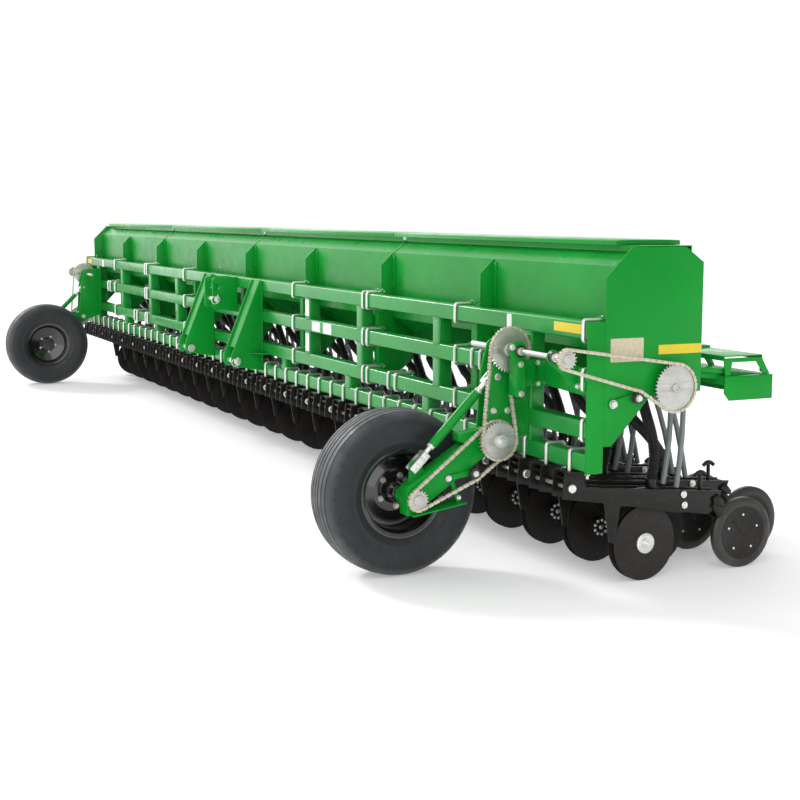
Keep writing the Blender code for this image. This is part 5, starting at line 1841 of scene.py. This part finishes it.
# ------------------------------------------------------------------ gauge wheels
@dataclass
class GaugeWheel:
    """A gauge wheel with its tyre, arm and turnbuckle, on both sides."""

    tyre_r: float = 0.380
    tyre_half: float = 0.118
    rim_r: float = 0.200
    arm_in: float = 4.035
    arm_out: float = 4.115

    def tyre_profile(self) -> List[Flat]:
        """The tyre's section: beads, walls with mould rings, shoulders and a ribbed tread."""
        r, w, rim = self.tyre_r, self.tyre_half, self.rim_r
        half = [(0.078, rim), (0.094, rim + 0.004), (0.102, rim + 0.016), (0.106, rim + 0.030)]
        half += [(0.1085, rim + 0.034), (0.1095, rim + 0.040), (0.109, rim + 0.044), (0.1145, rim + 0.066)]
        half += [(w, rim + 0.095), (w - 0.001, rim + 0.118), (w - 0.004, r - 0.044), (w - 0.009, r - 0.030)]
        half += [(w - 0.0105, r - 0.029), (w - 0.012, r - 0.031), (w - 0.020, r - 0.019),
                 (w - 0.028, r - 0.011)]
        half += [(0.084, r - 0.0075), (0.082, r - 0.0165), (0.076, r - 0.0165), (0.074, r - 0.0060)]
        half += [(0.052, r - 0.0026), (0.050, r - 0.0120), (0.043, r - 0.0120), (0.041, r - 0.0018)]
        half += [(0.019, r - 0.0004), (0.017, r - 0.0100), (0.010, r - 0.0100), (0.008, r)]
        return half + [(-x, radius) for x, radius in half[::-1]]

    def wheel_profile(self) -> List[Flat]:
        """The rim and its dished disc, in one section from the inner face round to the outer."""
        rim = self.rim_r - SEAT
        points = [(-0.060, 0.0), (-0.060, 0.050), (-0.030, 0.060), (-0.016, 0.062), (-0.019, 0.098)]
        points += [(-0.036, 0.128), (-0.044, 0.158), (-0.040, 0.164), (-0.070, 0.166), (-0.088, 0.182)]
        points += [(-0.092, 0.196), (-0.092, rim + 0.012), (-0.088, rim + 0.012), (-0.084, rim),
                   (0.084, rim)]
        points += [(0.088, rim + 0.012), (0.092, rim + 0.012), (0.092, 0.196), (0.088, 0.182),
                   (0.060, 0.170)]
        points += [(-0.028, 0.166), (-0.031, 0.156), (-0.026, 0.132), (-0.008, 0.102), (-0.004, 0.094)]
        points += [(-0.004, 0.060), (0.012, 0.054), (0.020, 0.048), (0.080, 0.046), (0.088, 0.040),
                   (0.088, 0.0)]
        return points

    def build(self) -> None:
        """Builds everything on both sides."""
        axle = joint_point("left_wheel_spin")
        pivot = joint_point("left_arm_hinge")
        top = joint_point("left_tube_hinge")
        for side in Side:
            label = side.label
            rubber = TyreRubber("tyre_rubber", (0.011, 0.013, 0.016), axle=tuple(axle))
            solid = Solid().lathe(self.tyre_profile(), axle, 96, closed=True)
            solid.piece(label + "_ribbed_tyre", rubber, label + "_wheel", Slot.TYRE, side,
                        [label + "_tyre"])
            nub = Solid().block((-0.001, -0.006, -0.005), (0.0035, 0.006, 0.005), 0.0012)
            spots = []
            for index in range(40):
                angle = 2 * math.pi * index / 40
                y, z = axle.y + 0.3405 * math.cos(angle), axle.z + 0.3405 * math.sin(angle)
                spots.append(((axle.x + self.tyre_half - 0.007, y, z), (angle, 0.0, 0.0)))
            solid = Solid().take_mesh(SCATTER.spread(nub, spots, rubber))
            solid.piece(label + "_tyre_nubs", rubber, label + "_wheel", Slot.TYRE, side)
            solid = Solid().lathe(self.wheel_profile(), axle, 72)
            solid.piece(label + "_rim", RIM_BLACK, label + "_wheel", Slot.BLACK, side,
                        [label + "_gauge_wheel"])
            self.wheel_metal(side, axle)
            self.arm(side, axle, pivot)
            self.turnbuckle(side, top)

    def wheel_metal(self, side: Side, axle: Vector) -> None:
        """Builds the wheel's bolts, axle and sprocket.

        Args:
            side: The side it is on.
            axle: The wheel's middle.
        """
        solid = Solid()
        for index in range(5):
            angle = math.radians(-80 + 72 * index)
            y, z = axle.y + 0.074 * math.cos(angle), axle.z + 0.074 * math.sin(angle)
            solid.hex_bolt((axle.x - 0.0045, y, z), (1.0, 0.0, 0.0), 0.014)
            solid.rod((axle.x - 0.030, y, z), (axle.x - 0.022, y, z), 0.012, 6, 0.001)
        drive = ChainDrive()
        solid.rod((axle.x + 0.070, axle.y, axle.z), (drive.inner_x + 0.013, axle.y, axle.z), 0.0175, 24)
        drive.sprocket(solid, drive.inner_x, axle, drive.small_r, 0.0175, 0.026)
        solid.rod((drive.inner_x + 0.012, axle.y, axle.z), (drive.inner_x + 0.0135, axle.y, axle.z),
                  0.006, 12, 0.0004)
        solid.piece(side.label + "_wheel_axle", SPROCKET, side.label + "_wheel", Slot.ZINC, side)

    def arm(self, side: Side, axle: Vector, pivot: Vector) -> None:
        """Builds the box arm with its hub, lug, foot plate and chain tightener.

        Args:
            side: The side it is on.
            axle: The wheel's middle.
            pivot: The arm's pivot.
        """
        solid = Solid()
        middle = (self.arm_in + self.arm_out) / 2
        lean = math.degrees(math.atan2(pivot.z - axle.z, pivot.y - axle.y))
        hub_r, low_reach, high_reach, drop = 0.042, 0.030, 0.070, 0.070
        outline = arc((pivot.y, pivot.z), hub_r, lean - 90.0, lean + 30.0, 10)
        outline += arc((pivot.y, pivot.z), high_reach - 0.010, lean + 90.0, lean + 91.0, 1)[:1]
        outline += arc((axle.y, axle.z), high_reach, lean + 90.0, lean + 91.0, 1)[:1]
        outline += [(axle.y - hub_r, axle.z + 0.030), (axle.y - hub_r, axle.z - drop)]
        outline += [(axle.y + hub_r, axle.z - drop)]
        outline += arc((axle.y + hub_r, axle.z), low_reach, lean - 90.0, lean - 89.0, 1)[:1]
        solid.plate([outline, ring((axle.y, axle.z), 0.0182)], self.arm_out - self.arm_in, middle,
                    edge=0.005)
        hub = [(0.0, 0.0182), (0.0, hub_r - 0.002), (0.002, hub_r), (0.056, hub_r), (0.056, 0.0182)]
        solid.lathe(hub, (self.arm_in - 0.050, axle.y, axle.z), 32, closed=True)
        low = Vector((middle, behind(-0.548), 0.524))
        lug = arc((low.y, low.z), 0.024, 20.0, 170.0, 8)
        lug += [(low.y - 0.034, axle.z + 0.020), (low.y + 0.080, axle.z + 0.075)]
        solid.plate([lug, ring((low.y, low.z), 0.0120)], 0.012, middle)
        y, z = axle.y, axle.z
        foot_start, foot_end = (middle + 0.025, y - 0.030, z - drop + 0.003), (middle + 0.025, y + 0.235,
                                                                               z - 0.029)
        solid.slab(foot_start, foot_end, 0.055, 0.003)
        solid.block((middle - 0.02, y - 0.020, z - drop + 0.005), (middle + 0.035, y + 0.036, z - 0.02),
                    0.002)
        saddle = [at(-0.346, 0.655), at(-0.236, 0.671), at(-0.250, 0.616), at(-0.285, 0.600),
                  at(-0.345, 0.622)]
        solid.plate([saddle], 0.060, middle, edge=0.003)
        strut = [at(-0.395, 0.450), at(-0.372, 0.442), at(-0.338, 0.345), at(-0.356, 0.340)]
        solid.plate([strut], 0.006, self.arm_out + 0.004)
        idler = at(*ChainDrive.arm_idler)
        solid.slab((self.arm_out + 0.004, *at(-0.405, 0.463)), (self.arm_out + 0.004, *idler), 0.004,
                   0.0125)
        solid.piece(side.label + "_box_arm", GREEN, side.label + "_arm", Slot.GREEN, side,
                    [side.label + "_gauge_arm"])
        solid = Solid()
        x = self.arm_out + 0.030
        solid.rod((self.arm_out - 0.004, *idler), (x + 0.014, *idler), 0.008, 14)
        solid.hex_bolt((x + 0.013, *idler), (1.0, 0.0, 0.0), 0.013)
        solid.hex_bolt((self.arm_out + 0.008, behind(-0.403), 0.463), (1.0, 0.0, 0.0), 0.014)
        solid.hex_bolt((self.arm_out + 0.007, behind(-0.350), 0.372), (1.0, 0.0, 0.0), 0.010)
        solid.rod((self.arm_in - 0.020, pivot.y, pivot.z), (self.arm_in + 0.004, pivot.y, pivot.z), 0.019,
                  20)
        solid.piece(side.label + "_arm_bolts", ZINC, side.label + "_arm", Slot.ZINC, side)
        roller = [(-0.011, 0.009), (-0.011, 0.024), (0.011, 0.024), (0.011, 0.009)]
        solid = Solid().lathe(roller, (x, *idler), 28, closed=True)
        solid.piece(side.label + "_arm_roller", PRESS_RUBBER, side.label + "_arm", Slot.BLACK, side)

    def turnbuckle(self, side: Side, top: Vector) -> None:
        """Builds the turnbuckle's tube with its upper eye, and the rod with its fork.

        Args:
            side: The side it is on.
            top: The upper pin's middle.
        """
        low = Vector((top.x, behind(-0.548), 0.524))
        way = (low - top).normalized()
        reach = (low - top).length

        def on(distance: float) -> Tuple[float, float, float]:
            """A point along the turnbuckle from its upper pin."""
            return tuple(top + way * distance)

        solid = Solid().rod(on(0.107), on(0.421), 0.0215, 24, 0.002)
        solid.piece(side.label + "_turnbuckle_body", GREEN, side.label + "_tube", Slot.GREEN, side,
                    [side.label + "_turnbuckle_tube"])
        solid = Solid().rod(on(0.018), on(0.110), 0.0125, 18, 0.001)
        solid.rod(on(0.088), on(0.104), 0.021, 6, 0.002)
        solid.rod(on(0.4225), on(0.438), 0.021, 6, 0.002)
        side_way = Vector((0.0, -way.z, way.y)) * 0.020
        back_tail, front_tail = top + way * 0.046 + side_way, top + way * 0.046 - side_way
        start = math.degrees(math.atan2(side_way.z, side_way.y))
        for x in (-0.0150, 0.0150):
            cheek = arc((top.y, top.z), 0.022, start, start + 180.0, 12)
            cheek += [(front_tail.y, front_tail.z), (back_tail.y, back_tail.z)]
            solid.plate([cheek, ring((top.y, top.z), 0.0100)], 0.006, top.x + x)
        solid.slab(on(0.034), on(0.054), 0.018, 0.018)
        solid.piece(side.label + "_turnbuckle_eye", ZINC, side.label + "_tube", Slot.ZINC, side)
        solid = Solid().rod(on(0.300), on(reach - 0.060), 0.0125, 18, 0.001)
        solid.slab(on(reach - 0.076), on(reach - 0.046), 0.026, 0.019, 0.003)
        for x in (-0.0195, 0.0195):
            start, end = Vector(on(reach - 0.060)), Vector(on(reach + 0.030))
            shift = Vector((x, 0.0, 0.0))
            solid.slab(tuple(start + shift), tuple(end + shift), 0.0065, 0.019, 0.003)
        solid.rod((low.x - 0.036, low.y, low.z), (low.x + 0.036, low.y, low.z), 0.0095, 16)
        solid.rod((low.x + 0.026, low.y, low.z), (low.x + 0.031, low.y, low.z), 0.0150, 16, 0.001)
        solid.piece(side.label + "_turnbuckle_fork", ZINC, side.label + "_rod", Slot.ZINC, side,
                    [side.label + "_turnbuckle_rod"])


# ------------------------------------------------------------------ hitch
@dataclass
class Hitch:
    """The two lower clevis frames and the top mast."""

    centre_x: float = 0.530
    half: float = 0.080
    plate: float = 0.0127
    pin: Flat = (-0.185, 0.632)
    mast_half: float = 0.087
    mast_pin: Flat = (-0.150, 1.023)

    @staticmethod
    def lynch_pin(solid: Solid, point: Spot, size: float) -> None:
        """Adds a lynch pin with its spring ring.

        Args:
            solid: What it is added to.
            point: Where its shank crosses the big pin.
            size: Radius of its ring.
        """
        x, y, z = point
        solid.rod((x, y, z - size), (x, y, z + size * 1.3), 0.0045, 10, 0.001)
        centre = (y - size * 0.9, z - size * 0.2)
        line = [(x + 0.004, b, c) for b, c in ring(centre, size, 20)]
        solid.sweep(line, 0.0026, 8, closed=True)

    def lower(self, side: Side) -> None:
        """Builds one lower clevis frame.

        Args:
            side: The side it is on.
        """
        top = UPPER_TOP - 0.004
        py, pz = at(*self.pin)
        outline = [(behind(-SEAT), 0.565), (behind(-SEAT), top), (behind(-0.022), top),
                   (py - 0.040, pz + 0.040)]
        outline += arc((py - 0.008, pz - 0.006), 0.032, 180.0, 270.0, 5)
        outline += [(py + 0.020, pz - 0.042)]
        solid = Solid()
        for x in (self.centre_x - self.half, self.centre_x + self.half):
            solid.plate([outline], self.plate, x, edge=0.0015)
        inner = self.half - self.plate / 2
        solid.block((self.centre_x - inner, behind(-0.012), 0.600),
                    (self.centre_x + inner, behind(-SEAT), top), 0.001)
        high = Vector((self.centre_x, behind(-0.022), top - 0.006))
        lean = (high - Vector((self.centre_x, py - 0.034, pz + 0.040))).normalized()
        inset = Vector((0.0, 0.012, 0.0))
        solid.slab(tuple(high - lean * 0.480 + inset), tuple(high + inset), inner, 0.003)
        edge = self.centre_x + self.half + self.plate / 2 - 0.001
        low = LOWER_TOP - TUBE
        gusset = [(edge, behind(-SEAT)), (edge, behind(-0.110)), (edge + 0.110, behind(-SEAT))]
        solid.plate([gusset], 0.008, low + 0.005, Plane.XY)
        fillet = [(edge, behind(-0.004), 0.62), (edge, behind(-0.004), top - 0.02)]
        solid.sweep(fillet, 0.004, 8)
        solid.piece(side.label + "_clevis", GREEN, "frame", Slot.GREEN, side, [side.label + "_lower_hitch"])
        solid = Solid()
        start, end = self.centre_x - self.half - 0.030, self.centre_x + self.half + 0.036
        solid.rod((start, py, pz), (end, py, pz), 0.0183, 28, 0.004)
        solid.rod((end - 0.024, py, pz), (end - 0.018, py, pz), 0.026, 24, 0.001)
        solid.rod((start - 0.004, py, pz), (start + 0.008, py, pz), 0.027, 24, 0.002)
        self.lynch_pin(solid, (end - 0.010, py, pz), 0.024)
        solid.piece(side.label + "_clevis_pin", ZINC, "frame", Slot.ZINC, side)

    def mast(self) -> None:
        """Builds the mast for the top link."""
        py, pz = at(*self.mast_pin)
        outline = [at(-SEAT, 0.930), at(-SEAT, UPPER_TOP - 0.002), at(-0.170, UPPER_TOP - 0.002)]
        outline += [at(-0.185, UPPER_TOP - 0.017), at(-0.185, 0.972), at(-0.170, 0.957)]
        solid = Solid()
        for x in (-self.mast_half, self.mast_half):
            solid.plate([outline, ring(at(-0.150, 1.110), 0.0159)], self.plate, x, edge=0.0015)
        inner = self.mast_half - self.plate / 2
        solid.block((-inner, behind(-0.012), 0.940), (inner, behind(-SEAT), UPPER_TOP - 0.004), 0.001)
        solid.piece("mast_plates", GREEN, "frame", Slot.GREEN, replaces=["top_hitch"])
        solid = Solid().rod((-self.mast_half - 0.030, py, pz), (self.mast_half + 0.034, py, pz), 0.0159,
                            28, 0.003)
        solid.rod((self.mast_half + 0.007, py, pz), (self.mast_half + 0.012, py, pz), 0.024, 24, 0.001)
        solid.rod((-self.mast_half - 0.034, py, pz), (-self.mast_half - 0.022, py, pz), 0.024, 24, 0.002)
        self.lynch_pin(solid, (self.mast_half + 0.024, py, pz), 0.026)
        solid.piece("mast_pin", ZINC, "frame", Slot.ZINC)

    def build(self) -> None:
        """Builds the whole hitch."""
        for side in Side:
            self.lower(side)
        self.mast()


# ------------------------------------------------------------------ walkboard
@dataclass
class Walkboard:
    """The folding walkboard with its box beam, treads and arms."""

    end: float = 4.45
    front: float = 0.850
    rear: float = 1.130
    top: float = 0.893
    low: float = 0.780
    pivot: Flat = (0.612, 0.925)
    arm_xs: Tuple[float, ...] = (-4.40, -2.20, 0.06, 2.20, 4.40)
    leg: Tuple[Flat, ...] = ((0.852, 0.976), (1.070, 0.976), (1.120, 0.896), (1.086, 0.892), (1.040, 0.956),
                             (0.900, 0.956), (0.890, 0.892), (0.862, 0.892))

    def build(self) -> None:
        """Builds the beam, treads, arms and pins."""
        self.fixed_steps()
        solid = Solid()
        wall = 0.006
        line = [(self.front, self.top - 0.040), (self.front, self.top), (self.rear, self.top),
                (self.rear, self.low)]
        inner = [(self.rear - wall, self.low), (self.rear - wall, self.top - wall),
                 (self.front + wall, self.top - wall),
                 (self.front + wall, self.top - 0.040)]
        solid.plate([[at(*p) for p in line + inner]], 2 * self.end, 0.0, edge=0.0012)
        closing = [(self.front, self.top - 0.001), (self.rear - 0.001, self.top - 0.001),
                   (self.rear - 0.001, self.low)]
        closing += [(self.front + 0.030, self.low), (self.front, self.low + 0.035)]
        for x in (-self.end + wall / 2, self.end - wall / 2):
            solid.plate([[at(*p) for p in closing]], wall, x)
        self.treads(solid)
        for x in self.arm_xs:
            arm = arc(at(*self.pivot), 0.020, 100.0, 280.0, 8)
            arm += [at(self.rear - 0.010, self.top - 0.045), at(self.rear - 0.010, self.top - 0.002)]
            solid.plate([arm, ring(at(*self.pivot), 0.0086, 16)], 0.010, x)
            upper = [(0.640, 0.930), (0.646, 0.948), (0.905, 0.925), (0.905, 0.900)]
            solid.plate([[at(*p) for p in upper]], 0.008, x + math.copysign(0.020, x))
        solid.piece("walkboard_beam", GREEN, "walkboard", Slot.GREEN, replaces=["walkboard"])
        solid = Solid()
        for x in self.arm_xs:
            out = 0.012 if x > 0 else -0.012
            for y, z in ((self.front + 0.030, self.top + 0.0165), (self.rear - 0.020, self.top + 0.0165)):
                solid.rod((x - out, behind(y), z), (x + 2.2 * out, behind(y), z), 0.011, 16, 0.002)
        solid.piece("walkboard_pins", ZINC, "walkboard", Slot.ZINC)
        grip = Solid().lathe([(0.0, 0.0), (0.0, 0.009), (0.0016, 0.007), (0.0026, 0.0)], LEVEL, 8)
        spots = []
        upward = (0.0, -math.pi / 2, 0.0)
        for column in range(int(2 * self.end / 0.055)):
            x = -self.end + 0.030 + column * 0.055
            for y in (self.front + 0.045, self.front + 0.105, self.front + 0.165, self.front + 0.225):
                spots.append(((x, behind(y), self.top - 0.0003), upward))
        solid = Solid().take_mesh(SCATTER.spread(grip, spots, GREEN))
        solid.piece("walkboard_grips", GREEN, "walkboard", Slot.GREEN)

    @staticmethod
    def step(solid: Solid, low: Spot, high: Spot, skirt: float) -> None:
        """Adds one step: a thin plate with a skirt at its front and rear.

        Args:
            solid: What it is added to.
            low: Its lower corner, at the plate's underside.
            high: Its upper corner.
            skirt: How deep its skirts are.
        """
        solid.block(low, high, 0.0015)
        for y in (low[1], high[1] - 0.005):
            solid.block((low[0], y, high[2] - skirt), (high[0], y + 0.005, high[2] - 0.003), 0.0012)

    def treads(self, solid: Solid) -> None:
        """Adds the raised step boxes at the ends, which fold with the board.

        Args:
            solid: What they are added to.
        """
        for side in Side:
            x0, x1 = sorted((side.value * (self.end - 0.010), side.value * (self.end - 0.420)))
            self.step(solid, (x0, behind(0.850), 0.982), (x1, behind(1.074), 0.987), 0.023)
            for x in (x0 + 0.004, x1 - 0.004):
                solid.plate([[at(*p) for p in self.leg]], 0.007, x)

    def fixed_steps(self) -> None:
        """Builds the upper steps, which stay on the seed box's rear wall, inside the board's swing."""
        for side in Side:
            x0, x1 = sorted((side.value * (self.end - 0.064), side.value * (self.end - 0.420)))
            solid = Solid()
            self.step(solid, (x0, behind(0.5885), 1.031), (x1, behind(0.812), 1.036), 0.016)
            for x in (x0 + 0.004, x1 - 0.004):
                shelf = [(0.5885, 1.030), (0.806, 1.030), (0.806, 1.020), (0.640, 1.012), (0.5885, 0.975)]
                solid.plate([[at(*p) for p in shelf]], 0.006, x)
            solid.piece(side.label + "_upper_step", GREEN, "frame", Slot.GREEN)


# ------------------------------------------------------------------ studio
@dataclass
class Studio:
    """The floor, the light and the camera."""

    camera_place: Spot = (9.459, -3.198, 1.626)
    yaw: float = 64.05
    pitch: float = 6.77
    roll: float = 0.26
    lens: float = 62.05
    shift: Flat = (-0.011, -0.0275)
    sky_low: float = 0.66
    sky_high: float = 1.8

    def floor(self) -> None:
        """Lays the pale floor."""
        mesh = bpy.data.meshes.new("floor")
        work = bmesh.new()
        bmesh.ops.create_grid(work, x_segments=2, y_segments=2, size=60.0)
        work.to_mesh(mesh)
        work.free()
        floor = bpy.data.objects.new("floor", mesh)
        shader = Shader("pale_floor")
        shade = shader.spread(shader.noise(0.6, 3.0), 0.84, 0.88)
        shader.feed("Base Color", shade)
        shader.constant("Roughness", 0.9)
        shader.surface.inputs["Emission Color"].default_value = (1.0, 1.0, 1.0, 1.0)
        shader.constant("Emission Strength", 0.26)
        mesh.materials.append(shader.material)
        bpy.context.scene.collection.objects.link(floor)

    def sky(self) -> None:
        """Sets a white surround that is brighter past the far end, and plain white to the camera."""
        world = bpy.data.worlds.new("studio")
        world.use_nodes = True
        nodes, links = world.node_tree.nodes, world.node_tree.links
        split = nodes.new("ShaderNodeSeparateXYZ")
        links.new(nodes.new("ShaderNodeTexCoord").outputs["Generated"], split.inputs[0])
        lobe = nodes.new("ShaderNodeMapRange")
        for name, number in (("From Min", -0.30), ("From Max", -0.85), ("To Min", self.sky_low),
                             ("To Max", self.sky_high)):
            lobe.inputs[name].default_value = number
        links.new(split.outputs["X"], lobe.inputs["Value"])
        shown = nodes.new("ShaderNodeMix")
        links.new(nodes.new("ShaderNodeLightPath").outputs["Is Camera Ray"], shown.inputs[0])
        links.new(lobe.outputs["Result"], shown.inputs[2])
        shown.inputs[3].default_value = 1.0
        back = nodes["Background"]
        back.inputs["Color"].default_value = (1.0, 1.0, 1.0, 1.0)
        links.new(shown.outputs[0], back.inputs["Strength"])
        bpy.context.scene.world = world

    def sun(self, name: str, travel: Spot, energy: float, angle: float) -> None:
        """Adds a distant lamp.

        Args:
            name: Its name.
            travel: The way its light travels.
            energy: Its strength.
            angle: Its apparent width in degrees, which softens its shadows.
        """
        data = bpy.data.lights.new(name, "SUN")
        data.energy = energy
        data.angle = math.radians(angle)
        lamp = bpy.data.objects.new(name, data)
        lamp.rotation_euler = Vector(travel).to_track_quat("-Z", "Y").to_euler()
        bpy.context.scene.collection.objects.link(lamp)

    def light(self) -> None:
        """Lights the studio with the surround, one soft key and a fill from the camera's side."""
        self.sky()
        self.sun("key", (0.755, 0.330, -0.566), 1.5, 12.0)
        self.sun("fill", (-0.80, 0.45, -0.40), 1.1, 60.0)

    def camera(self) -> None:
        """Sets the camera."""
        data = bpy.data.cameras.new("camera")
        data.lens = self.lens
        data.sensor_width = 36.0
        data.shift_x, data.shift_y = self.shift
        data.dof.use_dof = False
        data.clip_end = 200.0
        camera = bpy.data.objects.new("camera", data)
        x, y, z = self.camera_place
        turn = Matrix.Rotation(math.radians(self.yaw), 4,
                               "Z") @ Matrix.Rotation(math.radians(90.0 - self.pitch), 4, "X")
        camera.matrix_world = Matrix.Translation((x, behind(y), z)) @ turn @ Matrix.Rotation(
            math.radians(self.roll), 4, "Z")
        bpy.context.scene.collection.objects.link(camera)
        bpy.context.scene.camera = camera

    def build(self) -> None:
        """Sets up the studio."""
        self.floor()
        self.light()
        self.camera()
        bpy.context.scene.view_settings.view_transform = "Standard"


def main() -> None:
    """Builds the looks of the whole machine."""
    logging.basicConfig(level=logging.INFO, format="%(message)s")
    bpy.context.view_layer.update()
    Studio().build()
    toolbars = Toolbars()
    toolbars.build()
    toolbars.end_plates()
    Clamps().build()
    SeedBox().build()
    Meters().build()
    Openers().build()
    Hoses().build()
    ChainDrive().build()
    DriveBracket().build()
    GaugeWheel().build()
    Hitch().build()
    Walkboard().build()


if __name__ == "__main__":
    main()
